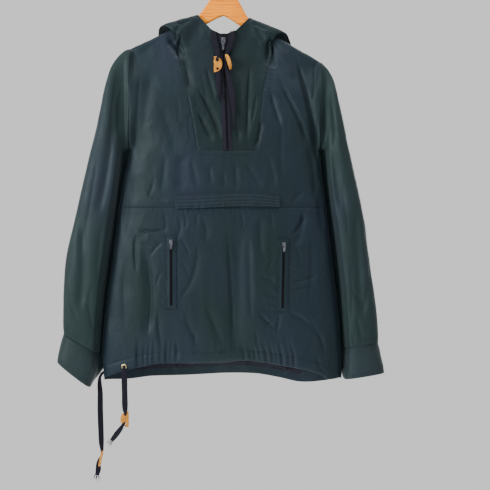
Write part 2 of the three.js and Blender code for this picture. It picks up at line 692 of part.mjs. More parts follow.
function makeFrontUpper() {
  const rows = UPPER_ROWS.length - 1;
  const grid = bodyGrid(PANEL_COLUMNS, UPPER_ROWS, ridgeZ, () => WAIST_Z + HALF_SEAM, frontY);
  const settle = (q, p, i, j) => settleBody(q, p, i, j, rows, PANEL_COLUMNS, -1, true);
  const panel = clothWall(grid, false, 1, settle);
  return withNeckCut(panel, insertOutline(0, RIDGE_ROW, SEAM), -PAST_CLOTH, PAST_SEAM);
}

function makeFrontLower() {
  const rows = LOWER_ROWS.length - 1;
  const grid = bodyGrid(GATHERED_COLUMNS, LOWER_ROWS, () => WAIST_Z - HALF_SEAM, frontHemZ, frontY);
  const settle = (q, p, i, j) => settleBody(q, p, i, j, rows, GATHERED_COLUMNS, -1, false);
  return clothWall(grid, false, 1, settle);
}

function makeBack() {
  const rows = BACK_ROWS.length - 1;
  const grid = bodyGrid(PANEL_COLUMNS, BACK_ROWS, ridgeZ, backHemZ, backY);
  const settle = (q, p, i, j) => settleBody(q, p, i, j, rows, PANEL_COLUMNS, 1, true);
  const panel = clothWall(grid, false, -1, settle);
  return withNeckCut(panel, insertOutline(RIDGE_ROW, HOOD.length - 1, SEAM), -PAST_SEAM, PAST_CLOTH);
}

// Points of one sleeve or cuff ring
function ringPoints(table, place, count, folds, startX) {
  const value = (column) => smoothValue(table, place, column);
  const outer = new THREE.Vector3(value('outX'), 0, value('outZ'));
  const inner = new THREE.Vector3(value('inX'), 0, value('inZ'));
  const centre = outer.clone().add(inner).multiplyScalar(0.5);
  const arm = outer.clone().sub(inner).multiplyScalar(0.5);
  const depth = value('depth');
  const points = [];
  for (let i = 0; i < count; i++) {
    const angle = (2 * Math.PI * i) / count;
    const [c, s] = [Math.cos(angle), Math.sin(angle)];
    const p = centre.clone().addScaledVector(arm, Math.sign(c) * Math.abs(c) ** (2 / SECTION_POWER));
    p.y = -depth * Math.sign(s) * Math.abs(s) ** (2 / SECTION_POWER);
    if (place > 0) {
      const fade = softStep(Math.abs(s) / 0.5);
      p.y -= Math.sign(p.y) * foldDepth(folds, p.x, p.z) * fade;
    }
    p.x += startX * Math.max(0, 1 - place);
    points.push(p);
  }
  return points;
}

function makeTube(table, ringCount, folds, startX) {
  const rings = [];
  for (let j = 0; j <= ringCount; j++) {
    rings.push(ringPoints(table, (j * (table.length - 1)) / ringCount, TUBE_SIDES, folds, startX));
  }
  const grid = Array.from({ length: TUBE_SIDES }, (_, i) => rings.map((ring) => ring[i]));
  const normals = gridNormals(grid, true);
  const centre = rings[2].reduce((sum, p) => sum.add(p), new THREE.Vector3()).divideScalar(TUBE_SIDES);
  const outward = grid[0][2].clone().sub(centre).dot(normals[0][2]) > 0 ? -1 : 1;
  return clothWall(grid, true, outward, (q, p, i, j) => {
    if (j === 0 && startX) q.x = p.x;
  });
}

function makeHoodHalf(leftSide) {
  const grid = hoodPlaces.map((place) => {
    const column = [];
    for (let j = 0; j <= HOOD_ROWS; j++) {
      const v = j / HOOD_ROWS;
      const p = hoodPoint(place, v, leftSide);
      if (place === 0) p.x += (leftSide ? 1 : -1) * HALF_SEAM;
      if (place === HOOD.length - 1) p.x = (leftSide ? 1 : -1) * HALF_SEAM;
      column.push(p);
    }
    return column;
  });
  const middle = new THREE.Vector3(0, 1, 0);
  const normals = gridNormals(grid, false);
  const inward = normals[2][5].dot(middle) > 0 ? 1 : -1;
  const lastColumn = grid.length - 1;
  return clothWall(grid, false, inward, (q, p, i, j) => {
    if (i === 0 || i === lastColumn) q.x = p.x;
    if (j === 0 && hoodPlaces[i] < RIDGE_ROW - 1) q.set(p.x, p.y + WALL, p.z);
    if (j === 0 && hoodPlaces[i] > RIDGE_ROW + 1) q.set(p.x, p.y - WALL, p.z);
  });
}

// Surface of the chest under the front zip, which eases to the neck edge at its top
function zipSurfaceY(x, z) {
  const v = Math.min(1, Math.max(0, (z - ZIP_BOTTOM.z) / (ZIP_TOP.z - ZIP_BOTTOM.z)));
  return frontY(x, z) + (HOOD[0].edgeY - frontY(x, z)) * v ** 3;
}

// Thin plate lying on a surface: its plan is a grid of [x, z] places, lifted off towards side
function plate(plan, surfaceY, lift, thick, side = -1) {
  const raise = (height) => plan.map((column) => column.map(([x, z], j) => {
    const up = typeof lift === 'function' ? lift(j / (column.length - 1)) : lift;
    return new THREE.Vector3(x, surfaceY(x, z) + side * (up + height), z);
  }));
  return wallGeometry(raise(thick), raise(0), false);
}

const blend = (a, b, f) => a + (b - a) * f;
const steps = (count) => Array.from({ length: count + 1 }, (_, i) => i / count);

function makeTapeHalf(leftSide) {
  const rows = TAPE_ROWS.map((z) => [[zipX(z) - HALF_SEAM, z], [zipX(z) - TAPE_HALF, z]]);
  for (const row of TAPE_NECK) rows.push([[row.innerX, row.innerZ], [row.outerX, row.outerZ]]);
  const plan = [0, 0.5, 1].map((f) => rows.map(([inner, outer]) => {
    const [x, z] = [blend(inner[0], outer[0], f), blend(inner[1], outer[1], f)];
    return leftSide ? [2 * zipX(z) - x, z] : [x, z];
  }));
  return plate(plan, zipSurfaceY, TAPE_LIFT, TAPE_WALL);
}

function makeFlap() {
  const plan = steps(12).map((f) => {
    const x = blend(FLAP[0].x, FLAP[FLAP.length - 1].x, f);
    const [top, foot] = [lookUp(FLAP, 'x', x, 'topZ'), lookUp(FLAP, 'x', x, 'footZ')];
    return steps(3).map((v) => [x, blend(top, foot, v)]);
  });
  return plate(plan, frontY, (v) => TRIM_LIFT + 1.4 * v, WALL);
}

function pocketPlan(pocket, half, endInset, columns, rows) {
  return steps(columns).map((u) => steps(rows).map((v) => {
    const length = pocket.topZ - pocket.footZ;
    const f = blend(endInset / length, 1 - endInset / length, v);
    const x = blend(pocket.topX, pocket.footX, f) + blend(-half, half, u);
    return [x, blend(pocket.topZ, pocket.footZ, f)];
  }));
}

function makeWelt(pocket) {
  const solid = toSolid(plate(pocketPlan(pocket, WELT_HALF, 0, 4, 10), frontY, TRIM_LIFT, WELT_WALL));
  const slot = [
    [pocket.topX - SLOT_HALF, pocket.topZ - SLOT_END],
    [pocket.topX + SLOT_HALF, pocket.topZ - SLOT_END],
    [pocket.footX + SLOT_HALF, pocket.footZ + SLOT_END],
    [pocket.footX - SLOT_HALF, pocket.footZ + SLOT_END],
  ];
  return toGeometry(solid.subtract(toSolid(frontPrism(slot, -PAST_CLOTH, PAST_SEAM))));
}

function makePocketTape(pocket) {
  const plan = pocketPlan(pocket, POCKET_TAPE_HALF, SLOT_END + SEAM, 2, 10);
  return plate(plan, frontY, TRIM_LIFT, METAL);
}

function boxSolid(x0, x1, y0, y1, z0, z1) {
  const box = new THREE.BoxGeometry(x1 - x0, y1 - y0, z1 - z0);
  box.translate((x0 + x1) / 2, (y0 + y1) / 2, (z0 + z1) / 2);
  return toSolid(box);
}

// Slider body with a bridge over it; the back of the body is at y = 0 and the bridge's middle at z = 0
function makeSlider(size) {
  const { width, height, thick, bridge, half } = size;
  const body = boxSolid(-width / 2, width / 2, -thick, 0, -height / 2, height / 2);
  const reach = thick + bridge + METAL;
  const arch = boxSolid(-BRIDGE_WIDTH / 2, BRIDGE_WIDTH / 2, -reach, -thick / 2, -half - METAL, half + METAL);
  const gap = boxSolid(-BRIDGE_WIDTH, BRIDGE_WIDTH, -thick - bridge, -thick, -half, half);
  return toGeometry(body.add(arch).subtract(gap));
}

// Pull tab: its eye bar lies under the bridge at the origin and the tab hangs down
function makePull(size) {
  const { pullLength, pullWidth, half } = size;
  const eyeLength = half + METAL * 2.4;
  const halfBar = METAL / 2;
  const tab = boxSolid(-pullWidth / 2, pullWidth / 2, -halfBar, halfBar, -pullLength, halfBar);
  const hole = boxSolid(-pullWidth / 2 + METAL, pullWidth / 2 - METAL, -METAL, METAL, -eyeLength, -halfBar);
  const tip = pullWidth * TAB_TIP_SHARE;
  const below = -pullLength - 1;
  const shoulder = -eyeLength - TAB_SHOULDER;
  const taper = [
    [pullWidth, below], [pullWidth, shoulder], [pullWidth / 2, shoulder], [tip, -pullLength], [tip, below],
  ];
  const mirrored = taper.map(([x, z]) => [-x, z]).reverse();
  const sides = [taper, mirrored].map((outline) => toSolid(frontPrism(outline, -METAL, METAL)));
  return toGeometry(tab.subtract(hole).subtract(sides[0]).subtract(sides[1]));
}

// Slider and pull at a place on the front, seated on a tape of the given height
function addSlider(prefix, size, x, z, surfaceY, seatHeight) {
  const reach = [-0.5, 0, 0.5].flatMap((u) => [-0.5, 0, 0.5].map((v) => (
    surfaceY(x + u * size.width, z + v * size.height))));
  const seat = new THREE.Group();
  seat.position.set(x, Math.min(...reach) - seatHeight - SEAM, z);
  part.add(seat);
  addMesh(`${prefix}_slider`, makeSlider(size), ZIP_METAL, seat);
  const pull = addMesh(`${prefix}_pull`, makePull(size), ZIP_METAL, seat);
  pull.position.y = -size.thick - size.bridge / 2;
}

function makeHanger() {
  const half = [...HANGER_TOP, ...HANGER_TIP, ...HANGER_UNDER];
  const mirrored = half.slice(1, -1).reverse().map(([x, z]) => [-x, z]);
  const shape = new THREE.Shape([...half, ...mirrored].map(([x, z]) => new THREE.Vector2(x, z)));
  const geometry = new THREE.ExtrudeGeometry(shape, {
    depth: HANGER_THICKNESS - 2 * HANGER_BEVEL,
    bevelEnabled: true,
    bevelSize: HANGER_BEVEL,
    bevelOffset: -HANGER_BEVEL,
    bevelThickness: HANGER_BEVEL,
    bevelSegments: 2,
  });
  geometry.rotateX(Math.PI / 2);
  geometry.translate(0, HANGER_THICKNESS / 2 - HANGER_BEVEL, 0);
  geometry.translate(0, 0, -HANGER_PIVOT.z);
  geometry.rotateY(HANGER_TILT);
  geometry.translate(HANGER_PIVOT.x, 0, HANGER_PIVOT.z);
  const boreRadius = HOOK_WIRE / 2 + SEAM;
  const bore = new THREE.CylinderGeometry(boreRadius, boreRadius, HOOK_BORE.length, 16);
  bore.rotateX(Math.PI / 2);
  bore.translate(0, 0, HOOK_BORE.z);
  return toGeometry(toSolid(geometry).subtract(toSolid(bore)));
}

function makeHook() {
  const radius = HOOK_RADIUS + HOOK_WIRE / 2;
  const route = [[0, -94], [0, -76], [0, -60], [4.5, -49]];
  const firstAngle = -50;
  const lastAngle = 195;
  const bends = 12;
  for (let i = 0; i <= bends; i++) {
    const angle = THREE.MathUtils.degToRad(firstAngle + ((lastAngle - firstAngle) * i) / bends);
    route.push([radius * Math.cos(angle), -HOOK_RADIUS + radius * Math.sin(angle)]);
  }
  const curve = new THREE.CatmullRomCurve3(route.map(([x, z]) => new THREE.Vector3(x, 0, z)));
  const section = new THREE.Shape().absarc(0, 0, HOOK_WIRE / 2, 0, Math.PI * 2);
  return new THREE.ExtrudeGeometry(section, { steps: 36, curveSegments: 4, extrudePath: curve });
}

// Flat braid: eight-sided section, its width across the route
function makeCord(route, stepCount) {
  const curve = new THREE.CatmullRomCurve3(route.map(([x, y, z]) => new THREE.Vector3(x, y, z)));
  const [w, t] = [CORD_WIDTH / 2, CORD_THICKNESS / 2];
  const e = w - t * 0.8;
  const outline = [[w, 0], [e, t], [0, t], [-e, t], [-w, 0], [-e, -t], [0, -t], [e, -t]];
  const section = new THREE.Shape(outline.map(([x, y]) => new THREE.Vector2(x, y)));
  return new THREE.ExtrudeGeometry(section, { steps: stepCount, extrudePath: curve });
}

// Half-round leather toggle, its straight side along z through the origin and its round side towards +x
function makeToggle() {
  const shape = new THREE.Shape();
  const half = TOGGLE.height / 2;
  shape.moveTo(0, -half);
  const pull = TOGGLE.width * TOGGLE.roundness;
  shape.bezierCurveTo(pull, -half, pull, half, 0, half);
  const extrusion = { depth: TOGGLE.thick, bevelEnabled: false, curveSegments: 14 };
  const geometry = new THREE.ExtrudeGeometry(shape, extrusion);
  geometry.rotateX(Math.PI / 2);
  geometry.translate(0, TOGGLE.thick / 2, 0);
  return geometry;
}

function addToggle({ name, x, y, z, turn, lean }) {
  const mesh = addMesh(name, makeToggle(), TOGGLE_LEATHER);
  mesh.position.set(x, y, z);
  mesh.rotation.set(0, THREE.MathUtils.degToRad(lean), THREE.MathUtils.degToRad(turn), 'YZX');
}

function makeEyelet() {
  const { outerR, innerR, thick, rim } = EYELET;
  const profile = [
    [innerR, 0], [outerR, 0], [outerR, thick * 0.5], [outerR - rim, thick], [innerR + rim, thick],
    [innerR, thick * 0.6], [innerR, 0],
  ];
  return new THREE.LatheGeometry(profile.map(([r, h]) => new THREE.Vector2(r, h)), 20);
}

function addEyelet() {
  const reach = 2;
  const slopeX = (frontY(EYELET.x + reach, EYELET.z) - frontY(EYELET.x - reach, EYELET.z)) / (2 * reach);
  const normal = new THREE.Vector3(slopeX, -1, 0).normalize();
  const mesh = addMesh('eyelet', makeEyelet(), EYELET_BRASS);
  mesh.quaternion.setFromUnitVectors(new THREE.Vector3(0, 1, 0), normal);
  mesh.position.set(EYELET.x, frontY(EYELET.x, EYELET.z), EYELET.z).addScaledVector(normal, EYELET.lift);
}

addMesh('hanger_wood', makeHanger(), HANGER_WOOD);
addMesh('hanger_hook', makeHook(), HOOK_STEEL);
addMesh('front_upper', makeFrontUpper(), SHELL_CLOTH);
addMesh('front_lower', makeFrontLower(), SHELL_CLOTH);
addMesh('back', makeBack(), SHELL_CLOTH);
addMesh('sleeve_right', makeTube(RIGHT_SLEEVE, SLEEVE_RINGS, RIGHT_SLEEVE_FOLDS, -SEAM), SHELL_CLOTH);
addMesh('sleeve_left', makeTube(LEFT_SLEEVE, SLEEVE_RINGS, LEFT_SLEEVE_FOLDS, SEAM), SHELL_CLOTH);
addMesh('cuff_right', makeTube(RIGHT_CUFF, CUFF_RINGS, [], 0), SHELL_CLOTH);
addMesh('cuff_left', makeTube(LEFT_CUFF, CUFF_RINGS, [], 0), SHELL_CLOTH);
addMesh('hood_right', makeHoodHalf(false), SHELL_CLOTH);
addMesh('hood_left', makeHoodHalf(true), SHELL_CLOTH);

addMesh('zip_tape_right', makeTapeHalf(false), NAVY_TAPE);
addMesh('zip_tape_left', makeTapeHalf(true), NAVY_TAPE);
const tapeTop = TAPE_LIFT + TAPE_WALL;
addSlider('front', FRONT_SLIDER, FRONT_SLIDER_PLACE.x, FRONT_SLIDER_PLACE.z, zipSurfaceY, tapeTop);
addMesh('chest_flap', makeFlap(), SHELL_CLOTH);
for (const pocket of POCKETS) {
  addMesh(`pocket_welt_${pocket.side}`, makeWelt(pocket), SHELL_CLOTH);
  addMesh(`pocket_tape_${pocket.side}`, makePocketTape(pocket), NAVY_TAPE);
  const sliderZ = pocket.topZ - SLOT_END - POCKET_SLIDER.height / 2 - 1;
  addSlider(`pocket_${pocket.side}`, POCKET_SLIDER, pocket.topX, sliderZ, frontY, TRIM_LIFT + METAL);
}

const hemTapePlan = steps(24).map((u) => {
  const x = blend(HEM_TAPE.fromX, HEM_TAPE.toX, u);
  return [HEM_TAPE.low, HEM_TAPE.high].map((height) => [x, backHemZ(x) + height]);
});
addMesh('hem_tape', plate(hemTapePlan, backY, WALL + TRIM_LIFT, METAL, -1), NAVY_TAPE);
addEyelet();

addMesh('hood_cord_right', makeCord(HOOD_CORD_RIGHT, 12), CORD_COTTON);
addMesh('hood_cord_left', makeCord(HOOD_CORD_LEFT, 16), CORD_COTTON);
addMesh('hem_cord_front', makeCord(HEM_CORD_FRONT, 14), CORD_COTTON);
addMesh('hem_cord_side', makeCord(HEM_CORD_SIDE, 14), CORD_COTTON);
for (const toggle of TOGGLES) addToggle(toggle);

export default part;
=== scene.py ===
"""Looks of a hooded pullover smock on a wooden hanger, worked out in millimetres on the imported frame."""

import math

import bpy
import numpy as np
from mathutils import Matrix, Vector, noise


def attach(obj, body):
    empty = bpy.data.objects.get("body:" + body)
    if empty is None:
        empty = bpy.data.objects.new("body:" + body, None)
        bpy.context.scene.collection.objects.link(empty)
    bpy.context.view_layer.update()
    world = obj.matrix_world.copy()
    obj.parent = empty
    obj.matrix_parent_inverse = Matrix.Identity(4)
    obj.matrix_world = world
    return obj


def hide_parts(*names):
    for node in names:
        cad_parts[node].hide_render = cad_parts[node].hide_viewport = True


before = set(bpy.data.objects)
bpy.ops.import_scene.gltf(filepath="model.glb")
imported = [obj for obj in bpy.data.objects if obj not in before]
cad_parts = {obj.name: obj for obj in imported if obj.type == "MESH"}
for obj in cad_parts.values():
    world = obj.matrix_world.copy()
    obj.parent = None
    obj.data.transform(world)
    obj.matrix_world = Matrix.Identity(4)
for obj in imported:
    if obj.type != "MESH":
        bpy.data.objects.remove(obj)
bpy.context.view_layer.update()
# One millimetre in metres
MM = 0.001

# The picture's camera: level, 2.4 m in front of the smock
camera = bpy.data.objects.new("camera", bpy.data.cameras.new("camera"))
bpy.context.scene.collection.objects.link(camera)
camera.data.sensor_width = 36
camera.data.lens = 84
camera.location = (0.042, -2.4, -0.615)
camera.rotation_euler = (math.pi / 2, 0, 0)
bpy.context.scene.camera = camera


# Tables and the smooth curves through them
def table(names, *rows):
    """Columns by name from rows of numbers."""
    return {name: np.array([row[i] for row in rows], float) for i, name in enumerate(names.split())}


def soft_step(f):
    """Smooth rise from 0 to 1."""
    c = np.clip(f, 0, 1)
    return c * c * (3 - 2 * c)


def curve_value(rows, place, column):
    """Smooth value of a column at a place counted in rows."""
    values = rows[column]
    count = len(values)
    i = np.clip(np.floor(place).astype(int), 0, count - 2)
    f = np.clip(place - i, 0, 1)
    a = values[i]
    b = values[i + 1]
    slope_a = np.where(i == 0, b - a, (b - values[np.maximum(0, i - 1)]) / 2)
    slope_b = np.where(i == count - 2, b - a, (values[np.minimum(count - 1, i + 2)] - a) / 2)
    f2 = f * f
    f3 = f * f * f
    from_a = (2 * f3 - 3 * f2 + 1) * a + (f3 - 2 * f2 + f) * slope_a
    from_b = (3 * f2 - 2 * f3) * b + (f3 - f2) * slope_b
    return from_a + from_b


def row_place(rows, key, value):
    """Place, counted in rows, at which a rising or falling column has a value."""
    keys = rows[key]
    sign = 1 if keys[1] > keys[0] else -1
    return np.interp(sign * np.asarray(value, float), sign * keys, np.arange(len(keys)))


def look_up(rows, key, value, column):
    """Smooth value of a column where another column has a value."""
    return curve_value(rows, row_place(rows, key, value), column)


# The armholes: their distance from the middle, half depth, foot and shoulder tips
ARMHOLE_X = 200
ARMHOLE_DEPTH = 28
UNDERARM_Z = -415
TIP_Z_RIGHT = -204.5
TIP_Z_LEFT = -232
WAIST_Z = -538
# Power of the rounded sections of body and sleeves, where 2 is an ellipse
POWER = 2.6
# Half of the shoulder's thickness, the height of its roll, and how soon the chest fills out below it
SHOULDER_HALF = 10
SHOULDER_ROLL = 9
CHEST_FILL = 70
# Width at the side seams over which folds fade out
SIDE_FADE = 20
# Half of the gap between two panels at a seam
HALF_SEAM = 0.15
# How far above the hem's edge its stitching runs
HEM_STITCH = 23
# The front zip's foot and its height up to the neck
ZIP_FOOT_Z = -420
ZIP_HEIGHT = 241
# Side seams of the body, and how far its front and back stand off the middle plane
BODY = table(
    "z left right front back",
    (-130, -200, 200, 21, 24), (-205, -200, 200, 27, 29), (-300, -200, 200, 38, 36),
    (-416, -200, 200, 45, 41), (-470, -211, 204, 48, 43), (-540, -223, 213, 50, 44),
    (-630, -234, 224, 51, 45), (-750, -250, 237, 51, 45), (-830, -257, 243, 50, 44),
    (-915, -252, 245, 48, 43),
)
# The shoulder line that front and back share
RIDGE = table(
    "x z",
    (-200, -204.5), (-187, -198), (-171, -190.5), (-138, -174.8), (-102, -155), (-60, -137), (0, -130),
    (50, -145), (93, -166), (127, -188), (158, -207), (177, -217.5), (200, -232),
)
FRONT_HEM = table(
    "x z",
    (-258, -893), (-203, -874), (-175, -867), (-134, -859), (-60, -858), (0, -856), (30, -852.5),
    (66, -855), (108, -862), (170, -873), (203, -884), (214, -893), (245, -890),
)
BACK_HEM = table(
    "x z",
    (-258, -898), (-205, -899), (-160, -894), (-80, -892), (0, -888), (66, -889), (110, -896),
    (160, -906), (205, -903), (245, -894),
)
# Large troughs: top, middle and foot of each, then width and depth
FRONT_FOLDS = (
    (28, -560, 26, 20, -850, 17, 7), (-168, -600, -156, -164, -815, 11, 5),
    (166, -545, 158, 144, -620, 9, 4), (146, -215, 182, 196, -470, 13, 5),
    (-150, -240, -168, -178, -440, 15, 4), (-84, -425, -92, -88, -505, 14, 3),
)
BACK_FOLDS = (
    (-120, -430, -135, -140, -825, 22, 7), (20, -470, 8, 14, -830, 20, 6),
    (128, -420, 140, 150, -820, 22, 7),
)
# Pocket zips: top and foot
POCKETS = {"right": (-110, -597, -109.5, -746), "left": (122.5, -602.5, 119.5, -751)}
# Gathers over the hem: start, end, count, top, lean, width and depth
GATHERS = ((-186, -92, 8, -800, 3, 3.6, 3.2), (36, 148, 10, -806, -7, 3.8, 3.0))
# Each row of a sleeve: its outer and inner edge seen from the front, and half its depth
SLEEVE_COLUMNS = "outX outZ inX inZ depth"
RIGHT_SLEEVE = table(
    SLEEVE_COLUMNS,
    (-200, -204.5, -200, -415, 28), (-211, -210, -207.5, -421, 23), (-225, -224, -213, -431, 27),
    (-238, -247, -217, -444, 38), (-248, -282, -220, -460, 44), (-257, -325, -223, -480, 46),
    (-267, -373, -226, -506, 46), (-281, -430, -230, -538, 46), (-296, -492, -236, -580, 46),
    (-313, -566, -243, -632, 46), (-328, -632, -250, -684, 46), (-334, -692, -256, -738, 45),
    (-336, -746, -261, -790, 44), (-336, -799, -263, -840, 40),
)
LEFT_SLEEVE = table(
    SLEEVE_COLUMNS,
    (200, -232, 200, -415, 28), (210, -241, 206, -422, 22), (220, -256, 210, -432, 26),
    (230, -281, 213, -446, 37), (238, -315, 215, -464, 43), (246, -354, 217, -487, 45),
    (255, -400, 220, -515, 45), (266, -450, 224, -549, 45), (279, -508, 230, -590, 45),
    (291, -572, 236, -640, 45), (301, -642, 241.5, -692, 45), (309, -702, 246, -744, 44),
    (316, -758, 249, -790, 43), (320, -817, 250, -828, 40),
)
RIGHT_CUFF = table(
    SLEEVE_COLUMNS,
    (-337.5, -800, -263.5, -841, 38), (-344, -828, -268, -875, 38), (-350, -857, -281, -911, 38),
)
LEFT_CUFF = table(
    SLEEVE_COLUMNS,
    (320.2, -817.7, 250, -828.6, 39), (326, -849, 249.5, -862, 38), (333, -880, 249, -894, 38),
)
RIGHT_SLEEVE_FOLDS = ((-226, -330, -240, -262, -560, 9, 6), (-300, -540, -292, -300, -760, 10, 5))
LEFT_SLEEVE_FOLDS = ((214, -320, 226, 244, -560, 10, 7), (268, -520, 276, 284, -780, 10, 5))
# The hood from the foot of the insert, over the shoulder line, to the middle of the back: its seam, its
# bend and its free edge, and how closely it follows the front
HOOD = table(
    "seamX seamZ liftY liftZ bendX bendY bendZ edgeX edgeY edgeZ cling",
    (6, -420, 0, 0, 1.5, 0, -299.5, -3, -20, -179, 1),
    (-30, -420.5, 0, 0, -19, 0, -298, -8, -20, -176, 1),
    (-54, -418, 0, 0, -34, 0, -295, -14, -20, -173, 1),
    (-60, -390, 0, 0, -40, 0, -280, -20, -19, -170, 1),
    (-68, -345, 0, 0, -48, 0, -255, -28, -18, -166, 1),
    (-79, -290, 0, 0, -58, 0, -224, -36, -17, -158, 1),
    (-90, -245, 0, 0, -68, 0, -196, -44, -15, -149, 0.9),
    (-100, -208, -1, 0, -88, -34, -166, -52, -13, -140, 0.5),
    (-103, -178, -2.4, 1, -136, -30, -156, -57, -9, -134, 0.12),
    (-103, -155, 0, 2.6, -186, 0, -168, -62, 7, -133, 0),
    (-98, -163, 2.4, 1.4, -198, 50, -208, -76, 34, -146, 0),
    (-80, -167, 2.6, 0.5, -190, 90, -330, -88, 64, -161, 0),
    (-50, -168, 2.6, 0.5, -130, 106, -520, -70, 92, -180, 0),
    (-20, -168, 2.6, 0.5, -60, 112, -620, -32, 106, -192, 0),
    (0, -168, 2.6, 0.5, 0, 112, -645, 0, 110, -196, 0),
)
# The row of HOOD at which its seam passes over the shoulder line
RIDGE_ROW = 9
LAST_ROW = 14

# Creases one by one: start, middle and end seen from the front, then width, depth and lean of the trough
FRONT_CREASES = (
    (-124, -180, -105, -199, -86, -232, 13, 7, 0.3), (94, -190, 99, -214, 100, -250, 10, 6.5, -0.3),
    (-92, -209, -79, -255, -71, -309, 11, 5, 0.2), (-125, -420, -127, -466, -133, -512, 9, 1.6, 0.3),
    (-174, -240, -182, -327, -187, -420, 7, 1.6, 0.3), (144, -210, 168, -306, 201, -481, 6, 5, 0.5),
    (106, -265, 142, -327, 178, -415, 6, 4.2, -0.4), (93, -288, 101, -327, 119, -379, 6, 3.6, 0.4),
    (185, -245, 187, -281, 181, -317, 6, 2.4, 0.3), (20, -443, 22, -471, 25, -505, 5, 1.8, 0.3),
    (39, -445, 58, -471, 78, -503, 5, 2, 0.3), (-30, -448, -29, -471, -24, -494, 4.5, 1.6, -0.3),
    (-4, -461, -2, -481, 1, -505, 4.5, 1.4, 0.3), (119, -358, 115, -420, 117, -494, 7, 1.6, 0.3),
    (-71, -430, -64, -466, -56, -502, 6, 1.4, 0.3),
    (-143, -317, -118, -368, -102, -440, 14, 1.5, 0.3),
    (83, -420, 99, -461, 104, -502, 7, 1.6, -0.3), (166, -399, 181, -451, 186, -523, 9, 2.2, 0.3),
    (135, -533, 148, -518, 166, -502, 6, 1.3, 0.3),
    (-164, -507, -138, -518, -112, -523, 7, 1.1, 0.3), (-58, -288, -30, -342, -4, -407, 6, 5, 0.4),
    (-57, -337, -41, -373, -22, -407, 5, 4, 0.4), (52, -234, 48, -317, 45, -412, 6, 3.4, 0.3),
    (78, -353, 72, -389, 60, -420, 5, 3, -0.3), (-40, -240, -30, -281, -17, -327, 6, 2.6, 0.3),
    (24, -327, 26, -368, 28, -415, 5, 2.2, 0.3), (-182, -585, -154, -588, -119, -584, 4, 2.6, 0.4),
    (-182, -587, -186, -626, -182, -677, 6, 2.2, 0.3),
    (-154, -640, -143, -623, -127, -609, 5, 1.8, 0.3),
    (-164, -631, -153, -718, -161, -811, 5, 1.8, 0.3),
    (-56, -608, -65, -677, -100, -736, 8, 1.8, 0.3),
    (-138, -749, -136, -790, -130, -831, 5, 1.8, 0.3), (3, -572, 12, -693, 16, -831, 6, 2.2, 0.35),
    (50, -584, 53, -677, 55, -780, 9, 2, -0.3), (72, -681, 87, -685, 106, -694, 4, 1.6, 0.3),
    (67, -754, 84, -770, 105, -790, 4, 1.5, 0.3), (82, -783, 96, -772, 110, -762, 4, 1.4, -0.3),
    (134, -694, 166, -688, 197, -677, 5, 1.8, 0.3), (134, -711, 158, -707, 182, -703, 4, 1.4, 0.3),
    (130, -754, 160, -770, 187, -791, 5, 2, 0.3), (112, -753, 110, -775, 106, -798, 4.5, 1.8, 0.3),
    (160, -544, 157, -569, 135, -597, 5, 2.6, 0.5), (214, -546, 221, -605, 232, -687, 8, 2.4, 0.3),
    (187, -791, 199, -811, 207, -842, 5, 1.5, 0.3), (-40, -739, -22, -780, -4, -826, 9, 1.6, 0.3),
    (-82, -754, -71, -790, -51, -824, 7, 1.4, 0.3),
    (-205, -641, -210, -718, -205, -801, 12, 1.8, 0.3),
    (-51, -554, -40, -579, -38, -615, 9, 1.5, 0.3), (78, -554, 74, -590, 78, -641, 9, 1.6, -0.3),
    (176, -590, 179, -656, 171, -739, 9, 1.6, 0.3), (-100, -554, -92, -579, -102, -605, 7, 1.5, 0.3),
    (186, -842, 194, -862, 207, -883, 5, 1.2, 0.3), (-102, -811, -98, -831, -96, -852, 4, 1.4, 0.3),
    (108, -193, 127, -235, 144, -275, 9, -2.4, 0), (-206, -440, -204, -520, -214, -600, 12, 3, 0.3),
    (196, -450, 202, -520, 206, -600, 12, 3, -0.3), (-60, -546, -57, -560, -60, -578, 3.5, 0.9, 0.3),
    (-84, -547, -80, -566, -84, -586, 3.5, 0.9, 0.3), (38, -546, 36, -562, 40, -584, 3.5, 0.9, 0.3),
    (92, -547, 98, -562, 100, -584, 3.5, 1.0, -0.3),
    (-128, -546, -122, -570, -126, -592, 4, 0.9, 0.3),
    (-176, -606, -160, -616, -140, -620, 4, 1.0, 0.3),
    (-94, -600, -80, -616, -70, -640, 4, 1.1, -0.3),
    (-92, -650, -80, -664, -76, -686, 3.5, 0.9, 0.3),
    (-128, -668, -138, -684, -142, -706, 3.5, 0.9, 0.3),
    (138, -612, 150, -626, 156, -648, 4, 1.0, 0.3), (104, -640, 94, -655, 90, -676, 3.5, 0.9, -0.3),
    (-20, -800, -16, -818, -18, -838, 4, 0.9, 0.3), (-66, -790, -62, -806, -66, -826, 3.5, 1.0, 0.3),
    (60, -790, 66, -806, 64, -828, 3.5, 1.0, 0.3), (170, -760, 182, -778, 190, -800, 4, 1.0, 0.3),
    (-160, -520, -150, -500, -146, -474, 4, 0.9, 0.3),
    (150, -350, 160, -380, 164, -420, 4, 1.1, 0.3), (-104, -300, -96, -336, -98, -372, 4, 0.9, 0.3),
    (-70, -330, -74, -372, -66, -410, 4, 1.0, 0.3), (-14, -230, -16, -262, -10, -296, 4, 1.1, 0.3),
    (30, -260, 34, -296, 32, -330, 4, 1.0, -0.3), (-48, -250, -44, -286, -34, -316, 4, 1.1, 0.3),
    (66, -300, 62, -336, 54, -370, 4, 1.2, -0.3),
)
